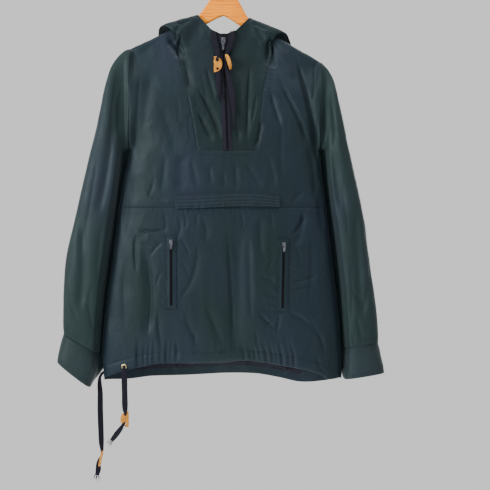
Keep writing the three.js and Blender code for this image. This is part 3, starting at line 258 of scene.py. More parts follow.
BACK_CREASES = (
    (-150, -230, -166, -330, -184, -430, 9, 3, 0.4), (150, -250, 170, -340, 192, -450, 9, 3, 0.4),
    (-60, -250, -84, -330, -98, -420, 11, 2, 0.3), (70, -260, 88, -350, 96, -430, 10, 2, -0.3),
    (-20, -440, -26, -540, -12, -640, 12, 2.4, 0.3), (70, -520, 76, -620, 66, -740, 10, 2, 0.3),
    (-80, -560, -70, -660, -82, -760, 10, 2.2, -0.3), (-190, -560, -186, -660, -196, -780, 9, 2, 0.3),
    (186, -560, 190, -680, 198, -800, 9, 2, 0.3), (-170, -690, -120, -720, -70, -716, 8, 1.6, 0.3),
    (60, -770, 110, -786, 170, -774, 8, 1.6, 0.3), (-40, -800, 0, -812, 46, -806, 7, 1.2, 0.3),
    (-110, -850, -108, -866, -104, -884, 4, 1.4, 0.3), (-64, -846, -62, -864, -60, -880, 4, 1.4, 0.3),
    (-14, -848, -12, -862, -10, -878, 4, 1.2, 0.3), (44, -846, 42, -862, 38, -880, 4, 1.4, 0.3),
    (92, -850, 90, -868, 84, -884, 4, 1.4, 0.3), (136, -856, 132, -874, 128, -890, 4, 1.4, 0.3),
)
SLEEVE_CREASES = {
    "right": (
        (-226, -262, -232, -330, -240, -430, 6, 2.5, 0.4),
        (-262, -420, -276, -520, -300, -640, 7, 2, 0.3),
        (-326, -700, -318, -740, -300, -775, 6, 2.5, 0.4),
        (-270, -690, -280, -740, -268, -800, 6, 2, 0.3),
        (-312, -600, -318, -660, -330, -700, 6, 1.8, 0.3),
        (-214, -280, -220, -330, -222, -400, 5, 2.4, 0.3),
        (-250, -560, -258, -620, -262, -690, 7, 2.2, -0.3),
        (-300, -800, -304, -812, -306, -822, 4, 1.6, 0.3),
        (-322, -780, -324, -792, -326, -804, 4, 1.4, 0.3),
        (-280, -806, -284, -820, -286, -832, 4, 1.4, 0.3),
    ),
    "left": (
        (226, -262, 236, -340, 256, -470, 6, 2.6, 0.4), (300, -640, 296, -700, 280, -770, 7, 2.5, 0.3),
        (262, -700, 276, -730, 300, -742, 5, 2, 0.4), (258, -640, 262, -720, 258, -790, 6, 2, 0.3),
        (270, -757, 276, -785, 283, -813, 5, 2.4, 0.4), (212, -300, 218, -350, 222, -420, 5, 2.6, 0.3),
        (286, -560, 296, -620, 302, -690, 7, 1.8, -0.3), (240, -480, 248, -540, 256, -610, 6, 2, 0.3),
        (300, -800, 302, -808, 303, -816, 4, 1.4, 0.3), (264, -800, 266, -812, 268, -822, 4, 1.4, 0.3),
    ),
}
HOOD_CREASES = (
    (-114, -174, -100, -194, -84, -224, 9, 5, 0.5), (88, -184, 92, -208, 94, -240, 9, 5, -0.5),
    (-150, -190, -128, -180, -106, -172, 6, 2.2, 0.4), (-118, -176, -104, -196, -98, -226, 7, 3, 0.5),
    (-80, -150, -96, -164, -108, -190, 6, 2, -0.4), (-70, -140, -84, -150, -104, -152, 5, 1.6, 0.3),
    (118, -200, 104, -196, 90, -190, 6, 2.2, 0.4), (96, -176, 90, -206, 84, -236, 7, 3, 0.5),
    (60, -160, 76, -176, 84, -200, 6, 2, -0.4), (54, -150, 70, -160, 92, -168, 5, 1.6, 0.3),
)
HOOD_BACK_CREASES = (
    (-120, -260, -80, -330, -30, -380, 10, 4, 0.4), (120, -270, 84, -336, 26, -392, 10, 4, -0.4),
    (-90, -220, -60, -280, -14, -330, 9, 3, 0.4), (96, -224, 60, -290, 22, -330, 9, 3, -0.4),
    (-130, -330, -96, -380, -50, -410, 8, 2.6, 0.3), (126, -340, 96, -384, 56, -414, 8, 2.6, 0.3),
    (-40, -240, -30, -300, -26, -360, 7, 2, 0.3), (46, -236, 36, -300, 34, -352, 7, 2, 0.3),
)


def fold_depth(folds, x, z):
    """Depth of the large troughs at points seen from the front."""
    total = np.zeros(np.broadcast(x, z).shape)
    for top_x, top_z, mid_x, foot_x, foot_z, width, depth in folds:
        f = (z - top_z) / (foot_z - top_z)
        c = np.clip(f, 0, 1)
        bow = mid_x - (top_x + foot_x) / 2
        offset = (x - (top_x + (foot_x - top_x) * c) - bow * 4 * c * (1 - c)) / width
        total += depth * np.exp(-offset * offset) * soft_step(f / 0.25) * soft_step((1 - f) / 0.2)
    return total


def gather_depth(x, z):
    """Depth of the uneven gathers that the hem cord draws up."""
    total = np.zeros(np.broadcast(x, z).shape)
    for start, end, count, top_z, lean, width, depth in GATHERS:
        step = (end - start) / count
        rise = soft_step((top_z - z) / 45)
        for i in range(count):
            uneven = 1 + 0.35 * math.sin(i * 2.4 + count)
            centre = start + (i + 0.5 + 0.18 * math.sin(i * 1.7)) * step + lean * (1 - rise)
            total += depth * uneven * rise * np.exp(-((x - centre) / width) ** 2)
    return total


def nearest_on(line, x, z):
    """Distance to a line seen from the front, place along it, side of it and the nearest point."""
    best = np.full(x.shape, 1e12)
    along, side, near_x, near_z = (np.zeros(x.shape) for _ in range(4))
    lengths = np.hypot(*np.diff(line, axis=0).T)
    start = np.concatenate([[0], np.cumsum(lengths)])
    for k in range(len(line) - 1):
        (ax, az), (bx, bz) = line[k], line[k + 1]
        dx = bx - ax
        dz = bz - az
        u = np.clip(((x - ax) * dx + (z - az) * dz) / max(dx * dx + dz * dz, 1e-9), 0, 1)
        ex = x - ax - u * dx
        ez = z - az - u * dz
        d2 = ex * ex + ez * ez
        closer = d2 < best
        best = np.where(closer, d2, best)
        along = np.where(closer, start[k] + u * lengths[k], along)
        side = np.where(closer, np.sign(dx * ez - dz * ex), side)
        near_x = np.where(closer, ax + u * dx, near_x)
        near_z = np.where(closer, az + u * dz, near_z)
    return np.sqrt(best), along, side, near_x, near_z


def crease_depth(creases, x, z):
    """Depth of the curved creases, which narrow and run out at both ends."""
    x, z = np.broadcast_arrays(np.asarray(x, float), np.asarray(z, float))
    total = np.zeros(x.shape)
    t = np.linspace(0, 1, 11)[:, None]
    for row in creases:
        a = np.array(row[0:2])
        m = np.array(row[2:4])
        b = np.array(row[4:6])
        width, depth, lean = row[6:]
        line = a * (1 - t) ** 2 + (2 * m - (a + b) / 2) * 2 * t * (1 - t) + b * t ** 2
        low = line.min(0) - 3 * width
        high = line.max(0) + 3 * width
        near = (x > low[0]) & (x < high[0]) & (z > low[1]) & (z < high[1])
        if not near.any():
            continue
        distance, along, side, _, _ = nearest_on(line, x[near], z[near])
        f = along / np.hypot(*np.diff(line, axis=0).T).sum()
        taper = soft_step(f / 0.3) * soft_step((1 - f) / 0.3)
        o = distance * side / (width * (0.4 + 0.38 * taper))
        total[near] += depth * taper * np.exp(-np.abs(o) ** 1.5) * (1 + 1.6 * lean * o)
    return total


def crumple(x, y, z, sizes, seed):
    """Sharp-edged wrinkles from -1 to 1 of a given size along each axis."""
    x, y, z = np.broadcast_arrays(x, y, z)
    columns = (x / sizes[0] + seed, y / sizes[1], z / sizes[2])
    points = zip(*(column.ravel().tolist() for column in columns))
    return np.array([1 - 2.4 * abs(noise.noise(Vector(p))) for p in points]).reshape(x.shape)


def body_sides(z):
    """X of both side seams at a height, and that height's place in BODY."""
    place = row_place(BODY, "z", z)
    return curve_value(BODY, place, "left"), curve_value(BODY, place, "right"), place


def stand_off(x, z, column):
    """How far front or back stands off the middle plane, round above and open at the armholes."""
    left, right, place = body_sides(z)
    s = np.minimum(1, np.abs((x - (left + right) / 2) / ((right - left) / 2)))
    full = (1 - s ** POWER) ** (1 / POWER)
    below = np.maximum(0, look_up(RIDGE, "x", x, "z") - z)
    turn = np.sqrt(np.maximum(0, 1 - (1 - np.minimum(1, below / SHOULDER_ROLL)) ** 2))
    filled = 1 - np.exp(-below / CHEST_FILL)
    chest = turn * SHOULDER_HALF + filled * (curve_value(BODY, place, column) - SHOULDER_HALF)
    half = (np.where(np.asarray(x) < 0, TIP_Z_RIGHT, TIP_Z_LEFT) - UNDERARM_Z) / 2
    q = np.minimum(1, np.abs(z - UNDERARM_Z - half) / half)
    oval = (1 - q ** POWER) ** (1 / POWER)
    eased = oval * soft_step((1 - q) / 0.75)
    side = ARMHOLE_DEPTH * (eased + (oval - eased) * soft_step((s - 0.93) / 0.07))
    return np.maximum(side * (1 - full) + chest * full, turn * SHOULDER_HALF * np.sqrt(1 - s ** 24))


def side_fade(x, z):
    """0 at the side seams and 1 from 20 mm inside them, so that front and back meet."""
    left, right, _ = body_sides(z)
    return soft_step(np.minimum(x - left, right - x) / SIDE_FADE)


def zip_x(z):
    """The closed front zip leans from x = 6 at its foot to x = -3 at the neck."""
    return 6 - 9 * np.clip((z - ZIP_FOOT_Z) / ZIP_HEIGHT, 0, 1)


def front_y(x, z):
    """Y of the front with its large folds and gathers."""
    creases = fold_depth(FRONT_FOLDS, x, z) + gather_depth(x, z)
    return -np.maximum(HALF_SEAM, stand_off(x, z, "front") - creases * side_fade(x, z))


def back_y(x, z):
    """Y of the back with its large folds."""
    return np.maximum(HALF_SEAM, stand_off(x, z, "back") - fold_depth(BACK_FOLDS, x, z) * side_fade(x, z))


def seam_line(places, left):
    """The hood's seam seen from the front, as rows of x and z."""
    x = curve_value(HOOD, places, "seamX")
    z = curve_value(HOOD, places, "seamZ")
    y = np.where(places < RIDGE_ROW, front_y(x, z), back_y(x, z))
    if left:
        x, y, z = mirrored(x, y, z)
    return np.stack([x, z], axis=1)


def mirrored(x, y, z):
    """The left half of the hood, which hangs a little lower, from points of the right half."""
    drop = 0.12 * np.maximum(0, np.abs(x) - 7) * soft_step((z + 300) / 80)
    centre = np.where(y > 10, -3 * soft_step((40 - y) / 30), zip_x(z))
    return 2 * centre - x, y, z - drop


FRONT_PLACES = np.linspace(0, RIDGE_ROW, 90)
BACK_PLACES = np.linspace(RIDGE_ROW, LAST_ROW, 60)
INSERT_LINE = np.concatenate([seam_line(FRONT_PLACES, False)[::-1], seam_line(FRONT_PLACES, True)[1:]])
NECK_LINE = np.concatenate([seam_line(BACK_PLACES, False), seam_line(BACK_PLACES, True)[::-1][1:]])


def seam_dip(distance, along, strength=1.0):
    """Valley of a seam, with the small puckers that its stitches pull up."""
    valley = 0.9 * np.exp(-(distance / 1.7) ** 2)
    wave = np.sin(along / 1.9 + 2.2 * np.sin(along / 17)) * (0.5 + 0.5 * np.sin(along / 41 + 1))
    return strength * (valley + 0.45 * wave * np.exp(-distance / 8) * soft_step(distance / 2))


def pocket_puckers(x, z):
    """Short ripples that run out sideways from the sewn-in pocket zips."""
    total = np.zeros(x.shape)
    for top_x, top_z, foot_x, foot_z in POCKETS.values():
        across = x - np.interp(z, (foot_z, top_z), (foot_x, top_x))
        off = np.abs(across) - 11
        length = soft_step((top_z + 12 - z) / 14) * soft_step((z - foot_z + 12) / 14)
        wave = np.sin(z / 3.4 + 2.1 * np.sin(z / 15 + np.sign(across)) + 0.12 * across)
        uneven = 0.55 + 0.45 * np.sin(z / 21 + 2 * np.sign(across))
        total += 0.75 * wave * uneven * length * soft_step(off / 3) * np.exp(-np.maximum(off, 0) / 12)
    return total


def front_look(x, z):
    """Front cloth with all its creases; the hood's insert lies on the same surface."""
    x, z = np.broadcast_arrays(np.asarray(x, float), np.asarray(z, float))
    detail = 1.35 * crease_depth(FRONT_CREASES, x, z)
    detail += 0.7 - 0.7 * crumple(x, 0, z, (75, 1, 150), 3.1)
    detail += 0.4 - 0.4 * crumple(x, 0, z, (26, 1, 52), 11.7)
    detail += 0.16 * crumple(x, 0, z, (9, 1, 15), 5.3)
    detail += seam_dip(np.abs(z - WAIST_Z), x + 300) + pocket_puckers(x, z)
    near = (np.abs(x) < 140) & (z > -440)
    if near.any():
        distance, along, _, _, _ = nearest_on(INSERT_LINE, x[near], z[near])
        detail[near] += seam_dip(distance, along)
    above_hem = z - look_up(FRONT_HEM, "x", x, "z")
    detail += seam_dip(np.abs(above_hem - HEM_STITCH), x + 300, 0.7)
    detail -= 0.9 * soft_step(above_hem / 6) * soft_step((22 - above_hem) / 6)
    smooth = front_y(x, z)
    return np.minimum(-HALF_SEAM, smooth + detail * side_fade(x, z) * soft_step(-smooth / 12))


def back_look(x, z):
    """Back cloth with all its creases."""
    x, z = np.broadcast_arrays(np.asarray(x, float), np.asarray(z, float))
    detail = 1.8 * crease_depth(BACK_CREASES, x, z)
    detail += 1.8 - 1.8 * crumple(x, 0, z, (80, 1, 160), 23.1)
    detail += 0.9 - 0.9 * crumple(x, 0, z, (28, 1, 56), 31.7)
    above_hem = z - look_up(BACK_HEM, "x", x, "z")
    detail += seam_dip(np.abs(above_hem - HEM_STITCH), x + 300, 0.7)
    smooth = back_y(x, z)
    return np.maximum(HALF_SEAM, smooth - detail * side_fade(x, z) * soft_step(smooth / 12))


# Materials, all made of nodes that one small function adds
def srgb(code):
    """Linear colour from an sRGB hex value."""
    values = [int(code[i:i + 2], 16) / 255 for i in (1, 3, 5)]
    return tuple(v / 12.92 if v <= 0.04045 else ((v + 0.055) / 1.055) ** 2.4 for v in values) + (1.0,)


def add(tree, kind, inputs=(), out=None, stops=(), **settings):
    """One node with its settings, its links and a ramp's stops; out names the one socket to give back."""
    node = tree.nodes.new(kind)
    for key, value in settings.items():
        setattr(node, key, value)
    for key, value in dict(inputs).items():
        if isinstance(value, bpy.types.NodeSocket):
            tree.links.new(value, node.inputs[key])
        else:
            node.inputs[key].default_value = value
    if stops:
        elements = node.color_ramp.elements
        while len(elements) < len(stops):
            elements.new(0.5)
        for element, (position, colour) in zip(elements, stops):
            element.position = position
            element.color = srgb(colour) if isinstance(colour, str) else (colour, colour, colour, 1)
    return node if out is None else node.outputs[out]


def blank_material(name):
    """A material with no nodes, and its node tree."""
    mat = bpy.data.materials.new(name)
    mat.use_nodes = True
    mat.node_tree.nodes.clear()
    return mat, mat.node_tree


def patch(size):
    """Scale of a noise whose patches are this many millimetres wide."""
    return 1 / (size * MM)


def pitch(size):
    """Scale of a wave texture whose stripes lie this many millimetres apart."""
    return 0.31416 / (size * MM)


# Settings of a colour mix that darkens one colour by another
MULTIPLY = {"data_type": "RGBA", "blend_type": "MULTIPLY"}


def nylon(name, first, second, third, sheen):
    """Nylon plain weave of flat filament yarn, dyed between blue and green and washed soft.

    It gives the eye a dull dark cloth whose blue and green drift in broad patches, with faint streaks
    along the warp, small crinkles that catch the light and a low sheen. The real yarns lie about 0.3 mm
    apart, too fine to show, so the weave is drawn at 0.9 mm."""
    mat, tree = blank_material(name)
    place = add(tree, "ShaderNodeTexCoord", out="Object")
    cut = add(tree, "ShaderNodeTexCoord", out="UV")
    # Patches of dye 143 mm wide and about twice as tall
    tall = add(tree, "ShaderNodeMapping", {"Vector": place, "Scale": (1, 1, 0.45)}, "Vector")
    dye = {"Vector": tall, "Scale": patch(143), "Detail": 2.5, "Roughness": 0.55}
    dye = add(tree, "ShaderNodeTexNoise", dye, "Fac")
    tones = ((0.3, first), (0.5, second), (0.68, third))
    colour = add(tree, "ShaderNodeValToRGB", {"Fac": dye}, "Color", tones)
    # Streaks along the warp 9 mm wide and 90 mm long
    drawn_out = add(tree, "ShaderNodeMapping", {"Vector": cut, "Scale": (14, 1.4, 1)}, "Vector")
    streak = {"Vector": drawn_out, "Scale": patch(125), "Detail": 3.0}
    streak = add(tree, "ShaderNodeTexNoise", streak, "Fac")
    streak = add(tree, "ShaderNodeValToRGB", {"Fac": streak}, "Color", ((0.3, 0.86), (0.7, 1.0)))
    colour = add(tree, "ShaderNodeMix", {0: 0.8, 6: colour, 7: streak}, 2, **MULTIPLY)
    # Warp and weft at 0.9 mm
    threads = {"Vector": cut, "Scale": pitch(0.9)}
    warp = add(tree, "ShaderNodeTexWave", threads, "Fac", bands_direction="X")
    weft = add(tree, "ShaderNodeTexWave", threads, "Fac", bands_direction="Y")
    weave = add(tree, "ShaderNodeMath", {0: warp, 1: weft}, 0, operation="MULTIPLY")
    shade = add(tree, "ShaderNodeValToRGB", {"Fac": weave}, "Color", ((0.0, 0.78), (1.0, 1.0)))
    colour = add(tree, "ShaderNodeMix", {0: 0.35, 6: colour, 7: shade}, 2, **MULTIPLY)
    # Rubbed spots 45 mm wide are shinier than the rest
    rubbed = {"Vector": place, "Scale": patch(45.5), "Detail": 3.0}
    rubbed = add(tree, "ShaderNodeTexNoise", rubbed, "Fac")
    roughness = add(tree, "ShaderNodeValToRGB", {"Fac": rubbed}, "Color", ((0.3, 0.48), (0.7, 0.62)))
    # Crinkles 29 mm wide, then 5 mm, then the weave itself
    squeezed = add(tree, "ShaderNodeMapping", {"Vector": place, "Scale": (1, 1, 0.6)}, "Vector")
    crinkle = {"Vector": squeezed, "Scale": patch(29.4), "Detail": 4.0}
    crinkle = add(tree, "ShaderNodeTexNoise", crinkle, "Fac")
    normal = {"Height": crinkle, "Distance": 3 * MM, "Strength": 0.55}
    normal = add(tree, "ShaderNodeBump", normal, "Normal")
    fine = add(tree, "ShaderNodeTexNoise", {"Vector": place, "Scale": patch(5.26), "Detail": 2.0}, "Fac")
    normal = {"Height": fine, "Distance": 0.4 * MM, "Strength": 0.5, "Normal": normal}
    normal = add(tree, "ShaderNodeBump", normal, "Normal")
    normal = {"Height": weave, "Distance": 0.08 * MM, "Strength": 0.5, "Normal": normal}
    normal = add(tree, "ShaderNodeBump", normal, "Normal")
    surface = add(tree, "ShaderNodeBsdfPrincipled", {
        "Base Color": colour, "Roughness": roughness, "Normal": normal, "Sheen Weight": 0.08,
        "Sheen Roughness": 0.4, "Sheen Tint": srgb(sheen), "Specular IOR Level": 0.28,
        "Specular Tint": srgb(sheen),
    }, "BSDF")
    add(tree, "ShaderNodeOutputMaterial", {"Surface": surface})
    return mat


def ribbed_yarn(name, low, high, rib, slant, roughness):
    """Polyester filament yarn woven into tape, plaited into flat braid or twisted into sewing thread.

    It gives the eye a matt, nearly black band of slanting ribs that meet along its middle. Real ribs lie
    about 0.5 mm apart, too fine to show, so they are drawn at the larger spacing given in millimetres."""
    mat, tree = blank_material(name)
    place = add(tree, "ShaderNodeTexCoord", out="Object")
    split = add(tree, "ShaderNodeSeparateXYZ", {0: add(tree, "ShaderNodeTexCoord", out="UV")})
    folded = add(tree, "ShaderNodeMath", {0: split.outputs[0]}, 0, operation="ABSOLUTE")
    rise = add(tree, "ShaderNodeMath", {0: folded, 1: slant}, 0, operation="MULTIPLY")
    along = add(tree, "ShaderNodeMath", {0: split.outputs[1], 1: rise}, 0, operation="ADD")
    slanted = add(tree, "ShaderNodeCombineXYZ", {0: along, 1: folded}, 0)
    ribs = {"Vector": slanted, "Scale": pitch(rib), "Distortion": 0.6}
    ribs = add(tree, "ShaderNodeTexWave", ribs, "Fac", bands_direction="X")
    strands = {"Vector": slanted, "Scale": pitch(rib)}
    strands = add(tree, "ShaderNodeTexWave", strands, "Fac", bands_direction="Y")
    # The grooves between the ribs are painted darker than their crests: painted shade.
    colour = add(tree, "ShaderNodeValToRGB", {"Fac": ribs}, "Color", ((0.1, low), (0.9, high)))
    # Patches of dye 22 mm wide
    dye = add(tree, "ShaderNodeTexNoise", {"Vector": place, "Scale": patch(22.2), "Detail": 3.0}, "Fac")
    dye = add(tree, "ShaderNodeValToRGB", {"Fac": dye}, "Color", ((0.3, 0.75), (0.7, 1.0)))
    colour = add(tree, "ShaderNodeMix", {0: 0.6, 6: colour, 7: dye}, 2, **MULTIPLY)
    lifted = add(tree, "ShaderNodeMath", {0: strands, 1: 0.4}, 0, operation="ADD")
    height = add(tree, "ShaderNodeMath", {0: ribs, 1: lifted}, 0, operation="MULTIPLY")
    normal = {"Height": height, "Distance": rib * 0.35 * MM, "Strength": 0.8}
    normal = add(tree, "ShaderNodeBump", normal, "Normal")
    # Fuzz of the yarn, 1.1 mm where the real one is about 0.1 mm
    fuzz = add(tree, "ShaderNodeTexNoise", {"Vector": place, "Scale": patch(1.11), "Detail": 2.0}, "Fac")
    normal = {"Height": fuzz, "Distance": 0.2 * MM, "Strength": 0.4, "Normal": normal}
    normal = add(tree, "ShaderNodeBump", normal, "Normal")
    surface = add(tree, "ShaderNodeBsdfPrincipled", {
        "Base Color": colour, "Roughness": roughness, "Normal": normal, "Sheen Weight": 0.06,
        "Sheen Roughness": 0.5, "Sheen Tint": srgb("#8a86a8"), "Specular IOR Level": 0.15,
    }, "BSDF")
    add(tree, "ShaderNodeOutputMaterial", {"Surface": surface})
    return mat


def tanned_leather(name):
    """Vegetable-tanned cowhide, dyed tan in the drum and left without a finish.

    It gives the eye an uneven warm tan with darker rubbed spots, small pores and a soft gloss. Real pores
    are about 0.2 mm wide, too fine to show, so they are drawn at 0.7 mm."""
    mat, tree = blank_material(name)
    place = add(tree, "ShaderNodeTexCoord", out="Object")
    # Rubbed spots 11 mm wide
    tone = {"Vector": place, "Scale": patch(11.1), "Detail": 4.0, "Roughness": 0.6}
    tone = add(tree, "ShaderNodeTexNoise", tone, "Fac")
    tones = ((0.25, "#7c4a06"), (0.5, "#a86c12"), (0.75, "#c4851f"))
    colour = add(tree, "ShaderNodeValToRGB", {"Fac": tone}, "Color", tones)
    pores = add(tree, "ShaderNodeTexVoronoi", {"Vector": place, "Scale": patch(0.714)}, "Distance")
    shade = add(tree, "ShaderNodeValToRGB", {"Fac": pores}, "Color", ((0.05, 0.7), (0.4, 1.0)))
    colour = add(tree, "ShaderNodeMix", {0: 0.5, 6: colour, 7: shade}, 2, **MULTIPLY)
    worn = add(tree, "ShaderNodeTexNoise", {"Vector": place, "Scale": patch(4.17), "Detail": 2.0}, "Fac")
    roughness = add(tree, "ShaderNodeValToRGB", {"Fac": worn}, "Color", ((0.3, 0.5), (0.7, 0.7)))
    normal = {"Height": pores, "Distance": 0.2 * MM, "Strength": 0.6}
    normal = add(tree, "ShaderNodeBump", normal, "Normal")
    # Grain of the hide, 4 mm
    grain = add(tree, "ShaderNodeTexNoise", {"Vector": place, "Scale": patch(3.85), "Detail": 3.0}, "Fac")
    normal = {"Height": grain, "Distance": 0.4 * MM, "Strength": 0.5, "Normal": normal}
    normal = add(tree, "ShaderNodeBump", normal, "Normal")
    surface = add(tree, "ShaderNodeBsdfPrincipled", {
        "Base Color": colour, "Roughness": roughness, "Normal": normal, "Specular IOR Level": 0.4,
        "Sheen Weight": 0.15, "Sheen Tint": srgb("#ffd9a0"),
    }, "BSDF")
    add(tree, "ShaderNodeOutputMaterial", {"Surface": surface})
    return mat


def lacquered_wood(name):
    """Beech sawn flat, sanded, stained amber and dipped in thin lacquer.

    It gives the eye a bright amber with long pale grain, darker growth lines and a weak clear gloss.
    The grain is 50 mm long and 4 mm high. Real growth lines lie about 3 mm apart and are drawn at 6.5 mm,
    so that they show."""
    mat, tree = blank_material(name)
    place = add(tree, "ShaderNodeTexCoord", out="Object")
    lengthwise = add(tree, "ShaderNodeMapping", {"Vector": place, "Scale": (2.2, 8.0, 30.0)}, "Vector")
    grain = {"Vector": lengthwise, "Scale": patch(111), "Detail": 5.0, "Roughness": 0.6}
    grain = add(tree, "ShaderNodeTexNoise", grain, "Fac")
    tones = ((0.25, "#b45c00"), (0.5, "#da7c00"), (0.75, "#ec9200"))
    colour = add(tree, "ShaderNodeValToRGB", {"Fac": grain}, "Color", tones)
    drawn_out = add(tree, "ShaderNodeMapping", {"Vector": place, "Scale": (0.35, 1, 1.0)}, "Vector")
    growth = {"Vector": drawn_out, "Scale": pitch(6.5), "Distortion": 5.0}
    growth = add(tree, "ShaderNodeTexWave", growth, "Fac", bands_direction="Z")
    growth = add(tree, "ShaderNodeValToRGB", {"Fac": growth}, "Color", ((0.0, 0.62), (0.5, 1.0)))
    colour = add(tree, "ShaderNodeMix", {0: 0.35, 6: colour, 7: growth}, 2, **MULTIPLY)
    normal = {"Height": grain, "Distance": 0.3 * MM, "Strength": 0.25}
    normal = add(tree, "ShaderNodeBump", normal, "Normal")
    surface = add(tree, "ShaderNodeBsdfPrincipled", {
        "Base Color": colour, "Roughness": 0.5, "Normal": normal, "Coat Weight": 0.12,
        "Coat Roughness": 0.14, "Specular IOR Level": 0.15,
    }, "BSDF")
    add(tree, "ShaderNodeOutputMaterial", {"Surface": surface})
    return mat


def worn_metal(name, low, high, roughness):
    """Drawn steel wire, nickel-plated zinc or pressed brass, polished and then handled.

    It gives the eye a clear reflection that dull spots and scratches break up. Spots are 6 mm wide. Real
    scratches are about 0.1 mm wide, too fine to show, so they are drawn at 2 mm."""
    mat, tree = blank_material(name)
    place = add(tree, "ShaderNodeTexCoord", out="Object")
    spots = {"Vector": place, "Scale": patch(6.25), "Detail": 4.0, "Roughness": 0.6}
    spots = add(tree, "ShaderNodeTexNoise", spots, "Fac")
    colour = add(tree, "ShaderNodeValToRGB", {"Fac": spots}, "Color", ((0.3, low), (0.7, high)))
    dulled = {"Vector": place, "Scale": patch(3.125), "Detail": 3.0}
    dulled = add(tree, "ShaderNodeTexNoise", dulled, "Fac")
    levels = ((0.3, roughness), (0.7, roughness + 0.15))
    dulled = add(tree, "ShaderNodeValToRGB", {"Fac": dulled}, "Color", levels)
    flattened = add(tree, "ShaderNodeMapping", {"Vector": place, "Scale": (1, 1, 6)}, "Vector")
    scratches = {"Vector": flattened, "Scale": patch(2), "Detail": 2.0}
    scratches = add(tree, "ShaderNodeTexNoise", scratches, "Fac")
    normal = {"Height": scratches, "Distance": 0.1 * MM, "Strength": 0.35}
    normal = add(tree, "ShaderNodeBump", normal, "Normal")
    surface = {"Base Color": colour, "Metallic": 1.0, "Roughness": dulled, "Normal": normal}
    surface = add(tree, "ShaderNodeBsdfPrincipled", surface, "BSDF")
    add(tree, "ShaderNodeOutputMaterial", {"Surface": surface})
    return mat


def moulded_plastic(name, low, high):
    """Zip teeth of polyacetal, dyed through, moulded on to the tape and dulled by wear.

    It gives the eye matt, nearly black beads with hardly a highlight. The mould's real grit is about
    0.1 mm, too fine to show, so its patches are drawn at 1.2 to 2.5 mm."""
    mat, tree = blank_material(name)
    place = add(tree, "ShaderNodeTexCoord", out="Object")
    tone = add(tree, "ShaderNodeTexNoise", {"Vector": place, "Scale": patch(2.5), "Detail": 2.0}, "Fac")
    colour = add(tree, "ShaderNodeValToRGB", {"Fac": tone}, "Color", ((0.3, low), (0.7, high)))
    worn = add(tree, "ShaderNodeTexNoise", {"Vector": place, "Scale": patch(1.43), "Detail": 2.0}, "Fac")
    roughness = add(tree, "ShaderNodeValToRGB", {"Fac": worn}, "Color", ((0.3, 0.5), (0.7, 0.68)))
    grit = add(tree, "ShaderNodeTexNoise", {"Vector": place, "Scale": patch(1.25), "Detail": 2.0}, "Fac")
    normal = {"Height": grit, "Distance": 0.1 * MM, "Strength": 0.3}
    normal = add(tree, "ShaderNodeBump", normal, "Normal")
    surface = add(tree, "ShaderNodeBsdfPrincipled", {
        "Base Color": colour, "Roughness": roughness, "Normal": normal, "Specular IOR Level": 0.12,
    }, "BSDF")
    add(tree, "ShaderNodeOutputMaterial", {"Surface": surface})
    return mat


def studio_board(name):
    """Card painted pale grey with matt wall paint: an even floor with faint clouds 167 mm wide."""
    mat, tree = blank_material(name)
    place = add(tree, "ShaderNodeTexCoord", out="Object")
    clouds = add(tree, "ShaderNodeTexNoise", {"Vector": place, "Scale": patch(167), "Detail": 2.0}, "Fac")
    tones = ((0.3, "#ececec"), (0.7, "#f4f4f4"))
    colour = add(tree, "ShaderNodeValToRGB", {"Fac": clouds}, "Color", tones)
    surface = add(tree, "ShaderNodeBsdfPrincipled", {"Base Color": colour, "Roughness": 0.9}, "BSDF")
    add(tree, "ShaderNodeOutputMaterial", {"Surface": surface})
    return mat


# The same nylon in four copies: the hood's is darker and greener, and the sleeves' and cuffs' are painted
# lighter than the body's, which is painted light.
BODY_NYLON = nylon("teal_nylon_body", "#0f1c1d", "#121d24", "#161d2a", "#b8c8cc")
HOOD_NYLON = nylon("teal_nylon_hood", "#0d1819", "#101b1e", "#141d24", "#a8baba")
CUFF_NYLON = nylon("teal_nylon_cuffs", "#1a2526", "#1d272b", "#202630", "#b8c8c8")
SLEEVE_NYLON = nylon("teal_nylon_sleeves", "#162424", "#192527", "#1c242d", "#b8c8c8")
NAVY_TAPE = ribbed_yarn("navy_zip_tape", "#0d0d17", "#191925", 1.1, 1.0, 0.75)
HEM_TAPE = ribbed_yarn("navy_hem_tape", "#0d0e16", "#181924", 1.1, 1.0, 0.75)
NAVY_CORD = ribbed_yarn("navy_braid", "#0a0a12", "#181824", 1.6, 1.6, 0.85)
THREAD = ribbed_yarn("teal_thread", "#0c1216", "#1a242a", 0.8, 1.0, 0.6)
LEATHER = tanned_leather("tan_leather")
WOOD = lacquered_wood("amber_lacquered_wood")
STEEL = worn_metal("polished_steel", "#b9bcc2", "#e4e6ea", 0.16)
ZIP_METAL = worn_metal("nickel_zip", "#3e4046", "#7b7e85", 0.34)
BRASS = worn_metal("worn_brass_eyelet", "#9c875a", "#e0cf9e", 0.28)
TEETH = moulded_plastic("navy_zip_teeth", "#030305", "#09090d")


# Meshes from grids of points
FRONT = np.array([0, -1, 0.0])
BACK = np.array([0, 1, 0.0])


def grid_normals(points, ring=False):
    """Unit normals of a grid of points."""
    if ring:
        across = np.roll(points, -1, axis=0) - np.roll(points, 1, axis=0)
    else:
        across = np.gradient(points, axis=0)
    normal = np.cross(across, np.gradient(points, axis=1))
    return normal / np.maximum(np.linalg.norm(normal, axis=2, keepdims=True), 1e-9)


def facing(normals, direction):
    """Normals turned so that they follow a direction on the whole."""
    return normals if (normals * direction).sum() > 0 else -normals


def grid_uv(points):
    """Place of each point on the flat cut, in metres."""
    steps_u = np.linalg.norm(np.diff(points, axis=0), axis=2)
    steps_v = np.linalg.norm(np.diff(points, axis=1), axis=2)
    middle = points.shape[1] // 2
    u = np.concatenate([[0], np.cumsum(steps_u[:, middle])])
    v = np.concatenate([np.zeros((points.shape[0], 1)), np.cumsum(steps_v, axis=1)], axis=1)
    return np.stack([np.broadcast_to((u - u.mean())[:, None], v.shape), v], axis=2) * MM


